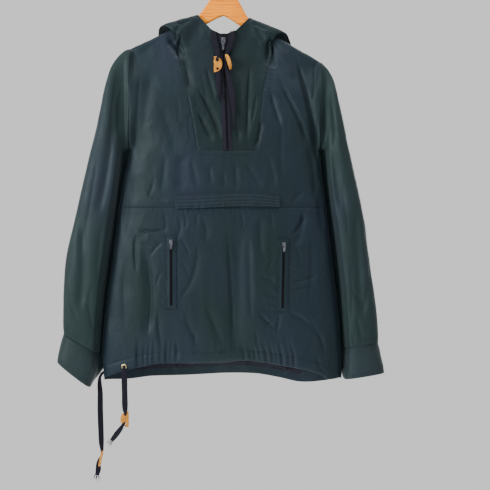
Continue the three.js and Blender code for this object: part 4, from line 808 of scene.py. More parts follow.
def placed(name, mesh):
    """An object for a mesh, on the body that carries the whole smock."""
    obj = bpy.data.objects.new(name, mesh)
    bpy.context.scene.collection.objects.link(obj)
    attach(obj, "root")
    return obj


def finished_mesh(source):
    """Mesh of a curve or of an object with its modifiers applied; the source is taken away again."""
    bpy.context.scene.collection.objects.link(source)
    bpy.context.view_layer.update()
    mesh = bpy.data.meshes.new_from_object(source.evaluated_get(bpy.context.evaluated_depsgraph_get()))
    bpy.data.objects.remove(source)
    mesh.shade_smooth()
    return mesh


def mesh_object(name, verts, faces, material, uvs):
    """Smooth mesh with its place on the flat cut as its UV map."""
    mesh = bpy.data.meshes.new(name)
    mesh.from_pydata(verts, [], faces)
    mesh.validate()
    mesh.materials.append(material)
    mesh.shade_smooth()
    layer = mesh.uv_layers.new(name="cut")
    index = np.zeros(len(mesh.loops), int)
    mesh.loops.foreach_get("vertex_index", index)
    layer.data.foreach_set("uv", np.asarray(uvs, np.float32)[index].ravel())
    return placed(name, mesh)


def grid_object(name, points, material, ring=False, keep=None,
                uvs=None, caps=(), out=FRONT):
    """Sheet from a grid of points in millimetres; keep says which cells are there and caps adds faces.

    Faces look away from the middle of a ring, and on an open sheet they look along out."""
    nu, nv = points.shape[:2]
    index = np.arange(nu * nv).reshape(nu, nv)
    right = np.roll(index, -1, axis=0) if ring else index[1:]
    base = index if ring else index[:-1]
    quads = np.stack([base[:, :-1], right[:, :-1], right[:, 1:], base[:, 1:]], axis=2)
    quads = quads[keep] if keep is not None else quads.reshape(-1, 4)
    used, compact = np.unique(quads, return_inverse=True)
    verts = (points.reshape(-1, 3) * MM)[used]
    uv = (grid_uv(points) if uvs is None else uvs).reshape(-1, 2)[used]
    faces = compact.reshape(-1, 4).tolist() + list(caps)
    outward = points - points.mean(axis=0, keepdims=True) if ring else out
    if (grid_normals(points, ring) * outward).sum() < 0:
        faces = [face[::-1] for face in faces]
    return mesh_object(name, verts.tolist(), faces, material, uv)


def turned_in(points, normals, end, depth, reach):
    """Adds a hem to the first or last row of a grid: it rolls inward and runs back behind the cloth."""
    rows = points if end == "last" else points[:, ::-1]
    n = normals if end == "last" else normals[:, ::-1]
    out = rows[:, -1] - rows[:, -2]
    out /= np.maximum(np.linalg.norm(out, axis=1, keepdims=True), 1e-9)
    edge = rows[:, -1] + out * depth * 0.4
    extra = [edge - n[:, -1] * depth * 0.25, edge - n[:, -1] * depth * 0.75]
    extra += [rows[:, -1 - k] - n[:, -1 - k] * depth for k in reach]
    rows = np.concatenate([rows, np.stack(extra, axis=1)], axis=1)
    return rows if end == "last" else rows[:, ::-1]


def inside(outline, x, z):
    """Which points lie within a closed outline seen from the front."""
    found = np.zeros(x.shape, bool)
    for (ax, az), (bx, bz) in zip(outline, np.roll(outline, -1, axis=0)):
        if az == bz:
            continue
        found ^= ((az > z) != (bz > z)) & (x < (bx - ax) * (z - az) / (bz - az) + ax)
    return found


def cut_out(points, line, surface):
    """Cells outside a neck outline, with the cells across it drawn back to the line."""
    top = -60
    outline = np.concatenate([[[line[0][0], top]], line, [[line[-1][0], top]]])
    x = points[..., 0]
    z = points[..., 2]
    within = inside(outline, x, z)
    keep = ~(within[:-1, :-1] & within[1:, :-1] & within[:-1, 1:] & within[1:, 1:])
    _, _, _, near_x, near_z = nearest_on(line, x[within], z[within])
    points[within] = np.stack([near_x, surface(near_x, near_z), near_z], axis=1)
    return keep


def body_panel(nu, fractions, top, foot, surface):
    """Panel grid from side seam to side seam; fractions run from its top edge to its foot."""
    s = np.sin(np.linspace(-1, 1, nu + 1) * math.pi / 2)[:, None]
    f = fractions[None, :]
    x = s * ARMHOLE_X + 0 * f
    for _ in range(3):
        z = top(x) + (foot(x) - top(x)) * f
        left, right, _ = body_sides(z)
        x = (left + right) / 2 + s * (right - left) / 2
    return np.stack([x, surface(x, z), z], axis=2)


def ridge_z(x):
    """Height of the shoulder line."""
    return look_up(RIDGE, "x", x, "z")


def front_hem_z(x):
    """Height of the front hem."""
    return look_up(FRONT_HEM, "x", x, "z")


def back_hem_z(x):
    """Height of the back hem, which hangs lower than the front."""
    return look_up(BACK_HEM, "x", x, "z")


t = np.linspace(0, 1, 171)
places = (t + 2 * t * t) / 3
upper = body_panel(200, places, ridge_z, lambda x: WAIST_Z + HALF_SEAM + 0 * x, front_look)
keep = cut_out(upper, INSERT_LINE, front_look)
front_upper = grid_object("front_upper_cloth", upper, BODY_NYLON, keep=keep)
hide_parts("front_upper")

t = np.linspace(0, 1, 191)
lower = body_panel(380, t, lambda x: WAIST_Z - HALF_SEAM + 0 * x, front_hem_z, front_look)
lower = turned_in(lower, facing(grid_normals(lower), FRONT), "last", 1.1, (1, 3, 5, 8))
front_lower = grid_object("front_lower_cloth", lower, BODY_NYLON)
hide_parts("front_lower")

t = np.linspace(0, 1, 221)
rear = body_panel(170, (t + 1.2 * t * t) / 2.2, ridge_z, back_hem_z, back_look)
keep = cut_out(rear, NECK_LINE, back_look)
back = grid_object("back_cloth", rear, BODY_NYLON, keep=keep, out=BACK)
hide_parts("back")


# Sleeves and cuffs
def tube_points(rows, nu, nv, folds, start_x):
    """Rings of a sleeve or cuff, squarer in front than behind, with its large folds."""
    place = np.linspace(0, len(rows["depth"]) - 1, nv + 1)[None, :]
    value = {c: curve_value(rows, place, c) for c in rows}
    angle = (np.arange(nu) * 2 * math.pi / nu)[:, None]
    c = np.cos(angle)
    s = np.sin(angle)
    bulge = np.sign(c) * np.abs(c) ** (2 / POWER)
    x = (value["outX"] + value["inX"]) / 2 + (value["outX"] - value["inX"]) / 2 * bulge
    z = (value["outZ"] + value["inZ"]) / 2 + (value["outZ"] - value["inZ"]) / 2 * bulge
    power = POWER + 2.2 * soft_step(place / 3) * (s > 0)
    y = -value["depth"] * np.sign(s) * np.abs(s) ** (2 / power)
    y = y - np.sign(y) * fold_depth(folds, x, z) * soft_step(np.abs(s) / 0.5) * (place > 0)
    return np.stack([x + start_x * np.maximum(0, 1 - place), y, z], axis=2)


# Share of a sleeve's width that goes behind the body, how far back and in it goes, and the cuffs' foot
TUCK_SHARE = 0.13
TUCK_BACK = 17
TUCK_IN = 6
CUFF_FOOT_Z = -906


def tucked(points, edge):
    """A sleeve with its inner side drawn behind the side seam, so that no light shows between."""
    x = points[..., 0]
    y = points[..., 1]
    z = points[..., 2]
    sign = 1 if edge == "right" else -1
    inner = (sign * x).min(axis=0)
    outer = (sign * x).max(axis=0)
    share = (sign * x - inner) / np.maximum(outer - inner, 1)
    near = soft_step((TUCK_SHARE - share) / TUCK_SHARE)
    below = soft_step((UNDERARM_Z + 2 - z) / 5) * soft_step((z - CUFF_FOOT_Z) / 60)
    gap = inner - sign * curve_value(BODY, row_place(BODY, "z", z), edge)
    y = y + TUCK_BACK * near * below
    x = x - sign * (gap + TUCK_IN) * near * below * soft_step((y - 2) / 9)
    return np.stack([x, y, z], axis=2)


def tube_look(points, front_creases, back_creases, seed, fade_rows=6):
    """Creases and crumples pressed into a tube along its own normals."""
    centre = points.mean(axis=0, keepdims=True)
    normals = facing(grid_normals(points, True), points - centre)
    x = points[..., 0]
    y = points[..., 1]
    z = points[..., 2]
    in_front = soft_step((0.35 - normals[..., 1]) / 0.7)
    detail = 0.85 * crease_depth(front_creases, x, z) * in_front
    detail += 1.6 * crease_depth(back_creases, x, z) * (1 - in_front)
    detail -= 0.4 * crumple(x, y, z, (60, 60, 130), seed)
    detail -= 0.25 * crumple(x, y, z, (24, 24, 48), seed + 7)
    detail += 0.14 * crumple(x, y, z, (9, 9, 14), seed + 13) - 0.8
    row = np.arange(points.shape[1])[None, :]
    ends = soft_step(row / fade_rows) * soft_step((points.shape[1] - 1 - row) / fade_rows)
    return points - normals * (detail * ends)[..., None], normals


def shifted(creases, dx, dz):
    """The same kind of creases in other places, for the side that the front view hides."""
    moved = []
    for start_x, start_z, mid_x, mid_z, end_x, end_z, width, depth, lean in creases:
        middle = ((mid_x + start_x) / 2 + dx - 3, mid_z + dz)
        end = (end_x + dx * 0.4, end_z + dz * 0.6)
        moved.append((start_x + dx, start_z + dz, *middle, *end, width * 1.2, depth, -lean))
    return moved


sleeves = {}
cuffs = {}
for side, rows, folds, start, seed in (
    ("right", RIGHT_SLEEVE, RIGHT_SLEEVE_FOLDS, -0.3, 41.3),
    ("left", LEFT_SLEEVE, LEFT_SLEEVE_FOLDS, 0.3, 57.9),
):
    creases = SLEEVE_CREASES[side]
    tube = tucked(tube_points(rows, 128, 230, folds, start), "left" if side == "right" else "right")
    points, normals = tube_look(tube, creases, shifted(creases, 6, -24), seed)
    sleeves[side] = (points, normals)
    piece = grid_object(f"sleeve_{side}_cloth", points, SLEEVE_NYLON, ring=True)
    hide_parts(f"sleeve_{side}")
for side, rows, seed in (("right", RIGHT_CUFF, 71.3), ("left", LEFT_CUFF, 83.9)):
    tube = tucked(tube_points(rows, 128, 30, (), 0), "left" if side == "right" else "right")
    points, normals = tube_look(tube, (), (), seed, 8)
    cuffs[side] = (points, normals)
    hemmed = turned_in(points, normals, "last", 1.2, (1, 3, 6, 10))
    piece = grid_object(f"cuff_{side}_cloth", hemmed, CUFF_NYLON, ring=True)
    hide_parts(f"cuff_{side}")


# Hood with the chest insert
def hood_points(places, v, left):
    """Half of the hood as curves from its seam over a bend to its free edge."""
    value = {c: curve_value(HOOD, places, c)[:, None] for c in HOOD}
    x = value["seamX"]
    z = value["seamZ"]
    y = np.where(places[:, None] < RIDGE_ROW, front_y(x, z), back_y(x, z)) + value["liftY"]
    parts = []
    for seam, axis in ((x, "X"), (y, "Y"), (z + value["liftZ"], "Z")):
        bend = value["bend" + axis] * 2 * v * (1 - v)
        parts.append(seam * (1 - v) ** 2 + bend + value["edge" + axis] * v * v)
    if left:
        parts = mirrored(*parts)
    px, py, pz = parts
    chest = front_look(px, pz)
    chest = chest + (value["edgeY"] - chest) * v ** 3
    points = np.stack([px, py * (1 - value["cling"]) + chest * value["cling"], pz], axis=2)
    shift = (1 if left else -1) * HALF_SEAM
    points[0, :, 0] += shift
    points[-1, :, 0] = shift
    return points


hoods = {}
for side in ("right", "left"):
    places = np.linspace(0, LAST_ROW, 161)
    v = np.linspace(0, 1, 91)[None, :]
    points = hood_points(places, v, side == "left")
    normals = grid_normals(points)
    normals = normals if normals[10, 40, 1] < 0 else -normals
    x = points[..., 0]
    y = points[..., 1]
    z = points[..., 2]
    free = 1 - curve_value(HOOD, places, "cling")[:, None] * (1 - v ** 3)
    ends = soft_step(v / 0.05) * soft_step((1 - v) / 0.03) * soft_step((LAST_ROW - places[:, None]) / 0.4)
    detail = 2.0 * crease_depth(HOOD_CREASES, x, z) * soft_step((24 - y) / 20)
    detail += 2.2 * crease_depth(HOOD_BACK_CREASES, x, z) * soft_step((y - 30) / 24)
    detail += (0.9 + soft_step((y - 20) / 40)) * crumple(x, y, z, (45, 45, 60), 91.3)
    detail += 0.6 * crumple(x, y, z, (18, 18, 26), 97.1)
    points = points - normals * (detail * free * ends)[..., None]
    hoods[side] = (points, normals)
    hemmed = turned_in(points, normals, "last", 1.0, (1, 3, 6, 9))
    piece = grid_object(f"hood_{side}_cloth", hemmed, HOOD_NYLON, out=normals[:1, :1])
    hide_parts(f"hood_{side}")


# Trims on the front
def on_front(x, z, lift):
    """Points that stand a little off the front cloth."""
    return np.stack(np.broadcast_arrays(x, front_look(x, z) - lift, z), axis=-1)


def zip_surface(x, z):
    """Y of the zip, which leaves the front towards the neck."""
    v = np.clip((z - ZIP_FOOT_Z) / ZIP_HEIGHT, 0, 1)
    y = front_look(x, z)
    return y + (-20 - y) * v ** 3


TAPE_WIDTH = 9.5
TAPE_HEIGHTS = (-419, -385, -350, -315, -280, -250, -222, -200)
# Both edges of the right zip tape: straight up the insert, then round the neck
TAPE_EDGES = table(
    "innerX innerZ outerX outerZ",
    *((zip_x(z) - HALF_SEAM, z, zip_x(z) - TAPE_WIDTH, z) for z in TAPE_HEIGHTS),
    (-3.2, -182, -12.6, -188), (-10, -177.5, -17.5, -185), (-26, -168, -31, -176),
)
for side in ("right", "left"):
    place = np.linspace(0, 10, 121)[None, :]
    f = np.linspace(0, 1, 9)[:, None]
    inner_x = curve_value(TAPE_EDGES, place, "innerX")
    inner_z = curve_value(TAPE_EDGES, place, "innerZ")
    x = inner_x + (curve_value(TAPE_EDGES, place, "outerX") - inner_x) * f
    z = inner_z + (curve_value(TAPE_EDGES, place, "outerZ") - inner_z) * f
    if side == "left":
        x = 2 * zip_x(z) - x
    roll = 1.4 - 0.5 * f ** 4
    points = np.stack([x, zip_surface(x, z) - roll, z], axis=2)
    uv = np.stack([(f + 0 * place) * TAPE_WIDTH, 0 * f - z], axis=2) * MM
    tape = grid_object(f"zip_tape_{side}_woven", points, NAVY_TAPE, uvs=uv)
    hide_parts(f"zip_tape_{side}")

# The chest flap's edges, and its rows of stitches as shares of its height
FLAP = table(
    "x topZ footZ", (-101, -513.5, -539.5), (-45, -510.5, -538.5), (10, -508, -535),
    (62, -508.5, -534.5), (114, -514.5, -536),
)
FLAP_ROWS = (0.1, 0.37, 0.63, 0.88)


def flap_lift(x, v):
    """How far the flap stands off the front: it waves near its foot and dips at each row of stitches."""
    wave = 0.5 * np.sin(x / 9.0) * v + 0.35 * np.sin(x / 3.1 + 1) * v ** 2
    rows = sum(np.exp(-((v - row) / 0.045) ** 2) for row in FLAP_ROWS)
    return 2.2 + 1.9 * v + 0.8 * wave - 0.8 * rows


x = np.linspace(-101, 114, 140)[:, None]
v = np.linspace(0, 1, 43)[None, :]
top = look_up(FLAP, "x", x, "topZ")
foot = look_up(FLAP, "x", x, "footZ")
flap_points = on_front(x, top + (foot - top) * v, flap_lift(x, v))
normals = facing(grid_normals(flap_points), FRONT)
flap_points = turned_in(flap_points, normals, "last", 1.1, (1, 3, 5, 8, 12))
flap_points = turned_in(flap_points, normals[:, :1], "first", 1.1, ())
flap = grid_object("chest_flap_cloth", flap_points, BODY_NYLON)
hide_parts("chest_flap")


def pocket_frame(pocket, half, inset):
    """Slanting rectangle round a pocket zip, as one closed line of x and z."""
    top_x, top_z, foot_x, foot_z = pocket
    corners = [(top_x + half, top_z - inset), (top_x - half, top_z - inset)]
    corners += [(foot_x - half, foot_z + inset), (foot_x + half, foot_z + inset)]
    line = []
    for (ax, az), (bx, bz) in zip(corners, corners[1:] + corners[:1]):
        count = 10 if abs(az - bz) < 5 else 70
        for k in range(count):
            line.append((ax + (bx - ax) * k / count, az + (bz - az) * k / count))
    return np.array(line)


for side, pocket in POCKETS.items():
    outer = pocket_frame(pocket, 10.8, 0)
    inner = pocket_frame(pocket, 2.7, 6)
    v = np.array([0, 0, 0.08, 0.2, 0.4, 0.6, 0.8, 0.92, 1, 1])
    height = np.array([0, 0.9, 1.3, 1.1, 1.5, 1.7, 1.9, 2.3, 1.9, 0.4])
    plan = outer[:, None, :] * (1 - v)[None, :, None] + inner[:, None, :] * v[None, :, None]
    points = on_front(plan[..., 0], plan[..., 1], height[None, :])
    uv = np.stack([plan[..., 0], plan[..., 1]], axis=2) * MM
    welt = grid_object(f"pocket_welt_{side}_cloth", points, BODY_NYLON, ring=True, uvs=uv)
    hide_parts(f"pocket_welt_{side}")
    f = np.linspace(0.03, 0.97, 60)[None, :]
    u = np.linspace(-1, 1, 9)[:, None]
    x = pocket[0] + (pocket[2] - pocket[0]) * f + 5.2 * u
    z = pocket[1] + (pocket[3] - pocket[1]) * f + 0 * u
    points = on_front(x, z, 0.9 + 0.25 * (1 - u * u))
    uv = np.stack([x - pocket[0], z], axis=2) * MM
    tape = grid_object(f"pocket_tape_{side}_woven", points, NAVY_TAPE, uvs=uv)
    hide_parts(f"pocket_tape_{side}")

x = np.linspace(-190, 160, 150)[:, None]
v = np.linspace(0, 1, 13)[None, :]
z = back_hem_z(x) + 16 + 20 * v
points = np.stack([x + 0 * v, back_look(x, z) - 1.3 - 0.4 * np.sin(math.pi * v), z], axis=2)
uv = np.stack([z - back_hem_z(x) - 26, x + 0 * v], axis=2) * MM
hem_tape = grid_object("hem_tape_woven", points, HEM_TAPE, uvs=uv)
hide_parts("hem_tape")


# Stitches and zip teeth by Geometry Nodes
def repeat_group():
    """Geometry Nodes group that sets a bead at a pitch along lines."""
    group = bpy.data.node_groups.new("along_lines", "GeometryNodeTree")
    face = group.interface
    face.new_socket("Lines", in_out="INPUT", socket_type="NodeSocketGeometry")
    face.new_socket("Pitch", in_out="INPUT", socket_type="NodeSocketFloat")
    face.new_socket("Size", in_out="INPUT", socket_type="NodeSocketVector")
    face.new_socket("Finish", in_out="INPUT", socket_type="NodeSocketMaterial")
    face.new_socket("Shapes", in_out="OUTPUT", socket_type="NodeSocketGeometry")
    start = add(group, "NodeGroupInput")
    curve = add(group, "GeometryNodeMeshToCurve", {"Mesh": start.outputs["Lines"]}, "Curve")
    even = {"Curve": curve, "Length": start.outputs["Pitch"]}
    even = add(group, "GeometryNodeResampleCurve", even, "Curve", mode="LENGTH")
    bead = add(group, "GeometryNodeMeshUVSphere", {"Segments": 6, "Rings": 4, "Radius": 0.5}, "Mesh")
    tangent = add(group, "GeometryNodeInputTangent", out=0)
    turn = add(group, "FunctionNodeAlignRotationToVector", {"Vector": tangent}, 0, axis="Z")
    beads = {"Points": even, "Instance": bead, "Rotation": turn, "Scale": start.outputs["Size"]}
    beads = add(group, "GeometryNodeInstanceOnPoints", beads, "Instances")
    real = add(group, "GeometryNodeRealizeInstances", {"Geometry": beads}, "Geometry")
    painted = {"Geometry": real, "Material": start.outputs["Finish"]}
    painted = add(group, "GeometryNodeSetMaterial", painted, "Geometry")
    add(group, "NodeGroupOutput", {"Shapes": painted})
    return group


ALONG_LINES = repeat_group()


def along_lines(name, lines, step, size, material):
    """One joined mesh of small beads, one at each step along lines of points, all in millimetres."""
    verts = []
    edges = []
    for line in lines:
        first = len(verts)
        verts += (np.asarray(line) * MM).tolist()
        edges += [(first + k, first + k + 1) for k in range(len(line) - 1)]
    wires = bpy.data.meshes.new(name + "_lines")
    wires.from_pydata(verts, edges, [])
    source = bpy.data.objects.new(name + "_lines", wires)
    modifier = source.modifiers.new("repeat", "NODES")
    modifier.node_group = ALONG_LINES
    sockets = ALONG_LINES.interface.items_tree
    named = {item.name: item.identifier for item in sockets if item.in_out == "INPUT"}
    modifier[named["Pitch"]] = step * MM
    modifier[named["Size"]] = [v * MM for v in size]
    modifier[named["Finish"]] = material
    return placed(name, finished_mesh(source))


def stitched(name, lines):
    """Rows of stitches 2.3 mm long, one every 3 mm."""
    return along_lines(name, lines, 3.0, (0.55, 0.5, 2.3), THREAD)


def front_line(*points, lift=0.15):
    """Line on the front cloth through points of x and z, with a point every 2.5 mm or so."""
    points = np.array(points, float)
    lengths = np.concatenate([[0], np.cumsum(np.hypot(*np.diff(points, axis=0).T))])
    at = np.linspace(0, lengths[-1], max(2, int(lengths[-1] / 2.5)))
    x = np.interp(at, lengths, points[:, 0])
    z = np.interp(at, lengths, points[:, 1])
    return on_front(x, z, lift)


def offset_line(line, distance):
    """A line moved sideways, seen from the front."""
    tangent = np.gradient(line, axis=0)
    tangent /= np.linalg.norm(tangent, axis=1, keepdims=True)
    return line + np.stack([-tangent[:, 1], tangent[:, 0]], axis=1) * distance


xs = np.linspace(-219, 209, 120)
front_lines = [front_line(*zip(xs, 0 * xs + WAIST_Z + h)) for h in (2.6, 8.6)]
for distance in (-2.4, -8.0):
    front_lines.append(front_line(*offset_line(INSERT_LINE[8:-8:2], distance)))
front_lines.append(front_line((-26, -424), (-12, -432), (10, -437), (30, -434), (44, -424)))
xs = np.linspace(-238, 232, 160)
front_lines += [front_line(*zip(xs, front_hem_z(xs) + h)) for h in (2.5, HEM_STITCH)]
for edge, sign in (("left", 1), ("right", -1)):
    zs = np.linspace(-430, -850, 60)
    beside_seam = look_up(BODY, "z", zs, edge) + sign * 11
    front_lines.append(front_line(*zip(beside_seam, zs)))
    zs = np.linspace(-256 if edge == "right" else -232, -404, 40)
    front_lines += [front_line(*zip(0 * zs - sign * (ARMHOLE_X - h), zs)) for h in (3, 9)]
for pocket in POCKETS.values():
    for half, inset in ((13.0, -2.4), (9.3, 1.5)):
        frame_line = pocket_frame(pocket, half, inset)
        closed = np.concatenate([frame_line, frame_line[:1]])
        front_lines.append(front_line(*closed, lift=0.15 if half > 11 else 1.75))
stitched("front_stitches", front_lines)

back_lines = []
xs = np.linspace(-236, 230, 150)
for h in (2.5, HEM_STITCH):
    z = back_hem_z(xs) + h
    back_lines.append(np.stack([xs, back_look(xs, z) + 0.15, z], axis=1))
for sign in (-1, 1):
    z = np.linspace(-245, -404, 60)
    for h in (3, 9):
        x = sign * (ARMHOLE_X - h) + 0 * z
        back_lines.append(np.stack([x, back_look(x, z) + 0.15, z], axis=1))
stitched("back_stitches", back_lines)

tube_lines = []
hood_lines = []
for side in ("right", "left"):
    points, normals = sleeves[side]
    for row in (4, 226):
        loop = points[:, row] + normals[:, row] * 0.15
        tube_lines.append(np.concatenate([loop, loop[:1]]))
    points, normals = cuffs[side]
    for row in (2, 5, 27):
        loop = points[:, row] + normals[:, row] * 0.15
        tube_lines.append(np.concatenate([loop, loop[:1]]))
    points, normals = hoods[side]
    for row in (80, 88):
        hood_lines.append(points[2:, row] + normals[2:, row] * 0.15)
    for column in (-4, -8):
        hood_lines.append(points[column, 2:88] + normals[column, 2:88] * 0.15)
stitched("sleeve_stitches", tube_lines)
stitched("hood_stitches", hood_lines)


def flap_line(places):
    """Line over the flap through places across it and down it."""
    x = np.array([p[0] for p in places], float)
    v = np.array([p[1] for p in places], float)
    top = look_up(FLAP, "x", x, "topZ")
    foot = look_up(FLAP, "x", x, "footZ")
    return on_front(x, top + (foot - top) * v, flap_lift(x, v) + 0.15)


flap_rows = [[(x, v) for x in np.linspace(-98, 111, 90)] for v in FLAP_ROWS]
flap_seams = (-99, -65.5, -9, 0, 35.5, 43.2, 61, 63, 112)
flap_rows += [[(x, v) for v in np.linspace(0.08, 0.92, 9)] for x in flap_seams]
stitched("flap_stitches", [flap_line(row) for row in flap_rows])

teeth = []
for offset in (-1.0, 1.0):
    z = np.arange(-417, -191, 2.5) + (0.75 if offset > 0 else 0)
    x = zip_x(z) + offset
    teeth.append(np.stack([x, zip_surface(x, z) - 1.9, z], axis=1))
for sign in (-1, 1):
    place = np.linspace(8, 9.6, 20)
    z = curve_value(TAPE_EDGES, place, "innerZ")
    x = curve_value(TAPE_EDGES, place, "innerX")
    x = x if sign < 0 else 2 * zip_x(z) - x
    teeth.append(np.stack([x, zip_surface(x, z) - 1.9, z], axis=1)[::-1])
along_lines("front_zip_teeth", teeth, 1.5, (2.6, 1.3, 1.1), TEETH)
teeth = []
for pocket in POCKETS.values():
    for offset in (-1.1, 1.1):
        z = np.linspace(pocket[3] + 6.5, pocket[1] - 8, 60)
        x = np.interp(z, (pocket[3], pocket[1]), (pocket[2], pocket[0])) + offset
        teeth.append(on_front(x, z, 1.6))
along_lines("pocket_zip_teeth", teeth, 1.4, (2.8, 1.3, 1.1), TEETH)


# Hanger, hook, eyelet and metal parts
def plate_from_outlines(name, loops, thickness, bevel, matrix, material):
    """Flat plate with round edges and holes: outlines in x and z, thickness along y."""
    curve = bpy.data.curves.new(name, "CURVE")
    curve.dimensions = "2D"
    curve.fill_mode = "BOTH"
    curve.extrude = (thickness / 2 - bevel) * MM
    curve.bevel_depth = bevel * MM
    curve.bevel_resolution = 4
    curve.offset = -bevel * MM
    for loop in loops:
        spline = curve.splines.new("POLY")
        spline.points.add(len(loop) - 1)
        for point, (x, z) in zip(spline.points, loop):
            point.co = (x * MM, z * MM, 0, 1)
        spline.use_cyclic_u = True
    mesh = finished_mesh(bpy.data.objects.new(name + "_outline", curve))
    mesh.transform(Matrix.Rotation(math.pi / 2, 4, "X"))
    mesh.transform(matrix)
    mesh.materials.clear()
    mesh.materials.append(material)
    return placed(name, mesh)


def smooth_route(rows, count):
    """Catmull-Rom line through rows of numbers, with the count of points asked for."""
    rows = np.array(rows, float)
    gaps = np.sqrt(np.linalg.norm(np.diff(rows[:, :3], axis=0), axis=1))
    knots = np.concatenate([[0], np.cumsum(gaps)])
    slopes = np.gradient(rows, knots, axis=0)
    at = np.linspace(0, knots[-1], count)
    i = np.clip(np.searchsorted(knots, at, side="right") - 1, 0, len(knots) - 2)
    h = (knots[i + 1] - knots[i])[:, None]
    f = ((at - knots[i]) / h[:, 0])[:, None]
    from_first = (2 * f ** 3 - 3 * f ** 2 + 1) * rows[i] + (f ** 3 - 2 * f ** 2 + f) * h * slopes[i]
    from_next = (3 * f ** 2 - 2 * f ** 3) * rows[i + 1] + (f ** 3 - f ** 2) * h * slopes[i + 1]
    return from_first + from_next


# Half of the hanger's outline, before it tilts in its hook
HANGER_TOP = (
    (0, -80), (12, -82.5), (22, -91), (31, -103), (40, -118), (50, -133.5), (62, -144), (80, -154.5),
    (98, -165), (133, -186), (156, -199), (170, -206),
)
HANGER_END = ((176, -211.5), (177, -217), (172, -220.5))
HANGER_UNDER = ((133, -206.5), (98, -188), (62, -168.5), (34, -152.5), (14, -140.5), (0, -134))
half = list(smooth_route([(x, 0, z) for x, z in HANGER_TOP + HANGER_END], 60)[:, [0, 2]])
half += list(smooth_route([(x, 0, z) for x, z in ((172, -220.5),) + HANGER_UNDER], 40)[1:, [0, 2]])
outline = half + [(-x, z) for x, z in half[-2:0:-1]]
pivot = Matrix.Translation((0.003, 0, -0.022))
tilt = pivot @ Matrix.Rotation(math.radians(3), 4, "Y") @ Matrix.Translation((0, 0, 0.022))
hanger = plate_from_outlines("hanger_polished", [outline], 11, 3.4, tilt, WOOD)
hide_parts("hanger_wood")


def tube_object(name, route, radii, sides, material, twist=None, across=(1, 0, 0)):
    """Tube along a route in millimetres; radii gives its half width and half thickness at each point."""
    tangent = np.gradient(route, axis=0)
    tangent /= np.linalg.norm(tangent, axis=1, keepdims=True)
    across = np.array(across, float)
    wide = across - tangent * (tangent @ across)[:, None]
    wide /= np.linalg.norm(wide, axis=1, keepdims=True)
    thick = np.cross(tangent, wide)
    if twist is not None:
        c = np.cos(twist)[:, None]
        s = np.sin(twist)[:, None]
        wide, thick = wide * c + thick * s, thick * c - wide * s
    angle = np.arange(sides) * 2 * math.pi / sides
    c = np.cos(angle)
    s = np.sin(angle)
    bulge = np.sign(s) * np.abs(s) ** 0.6
    points = route[None] + c[:, None, None] * (wide * radii[:, :1])[None]
    points = points + bulge[:, None, None] * (thick * radii[:, 1:])[None]
    along = np.concatenate([[0], np.cumsum(np.linalg.norm(np.diff(route, axis=0), axis=1))])
    around = c[:, None] * radii[None, :, 0]
    uv = np.stack([around, np.broadcast_to(along, around.shape)], axis=2) * MM
    last = sides * len(route)
    caps = [list(range(0, last, len(route)))[::-1], list(range(len(route) - 1, last, len(route)))]
    return grid_object(name, points, material, ring=True, uvs=uv, caps=caps)


# The hook's curve: the radius of the wire's middle line, and the height of its centre
HOOK_RADIUS = 23.8
HOOK_Z = -22
route = [(0, 0, -94), (0, 0, -76), (0, 0, -60), (4.5, 0, -49)]
for k in range(13):
    a = math.radians(-50 + 245 * k / 12)
    route.append((HOOK_RADIUS * math.cos(a), 0, HOOK_Z + HOOK_RADIUS * math.sin(a)))
route = smooth_route(route, 120)
wire = np.full((120, 2), 1.8)
hook = tube_object("hanger_hook_polished", route, wire, 20, STEEL, across=(0, 1, 0))
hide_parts("hanger_hook")

EYELET_X = -208
EYELET_Z = -866.5
slope = (front_y(EYELET_X + 2, EYELET_Z) - front_y(EYELET_X - 2, EYELET_Z)) / 4
normal = np.array([float(slope), -1.0, 0.0])
normal /= np.linalg.norm(normal)
side_axis = np.array([-normal[1], normal[0], 0.0])
centre = np.array([EYELET_X, float(front_y(EYELET_X, EYELET_Z)), EYELET_Z]) + normal * 0.6
# The eyelet's section, from its barrel over its rolled rim: radius and height off the cloth
profile = np.array((
    (2.7, -1.5), (2.8, 0.2), (3.2, 1.2), (4.1, 1.65), (5.0, 1.4), (5.6, 0.8), (5.8, 0.1), (5.5, -0.2),
))
angle = (np.arange(48) * 2 * math.pi / 48)[:, None, None]
radial = np.cos(angle) * side_axis + np.sin(angle) * np.array([0, 0, 1.0])
points = centre + radial * profile[None, :, :1] + normal * profile[None, :, 1:]
eyelet = grid_object("eyelet_ring", points, BRASS, ring=True)
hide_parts("eyelet")

ZIP_NODES = (
    "front_slider", "front_pull", "pocket_right_slider", "pocket_right_pull", "pocket_left_slider",
    "pocket_left_pull",
)
for node in ZIP_NODES:
    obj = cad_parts[node]
    obj.data.materials.clear()
    obj.data.materials.append(ZIP_METAL)
    bevel = obj.modifiers.new("soft_edges", "BEVEL")
    bevel.width = 0.00025
    bevel.segments = 2
    bevel.limit_method = "ANGLE"

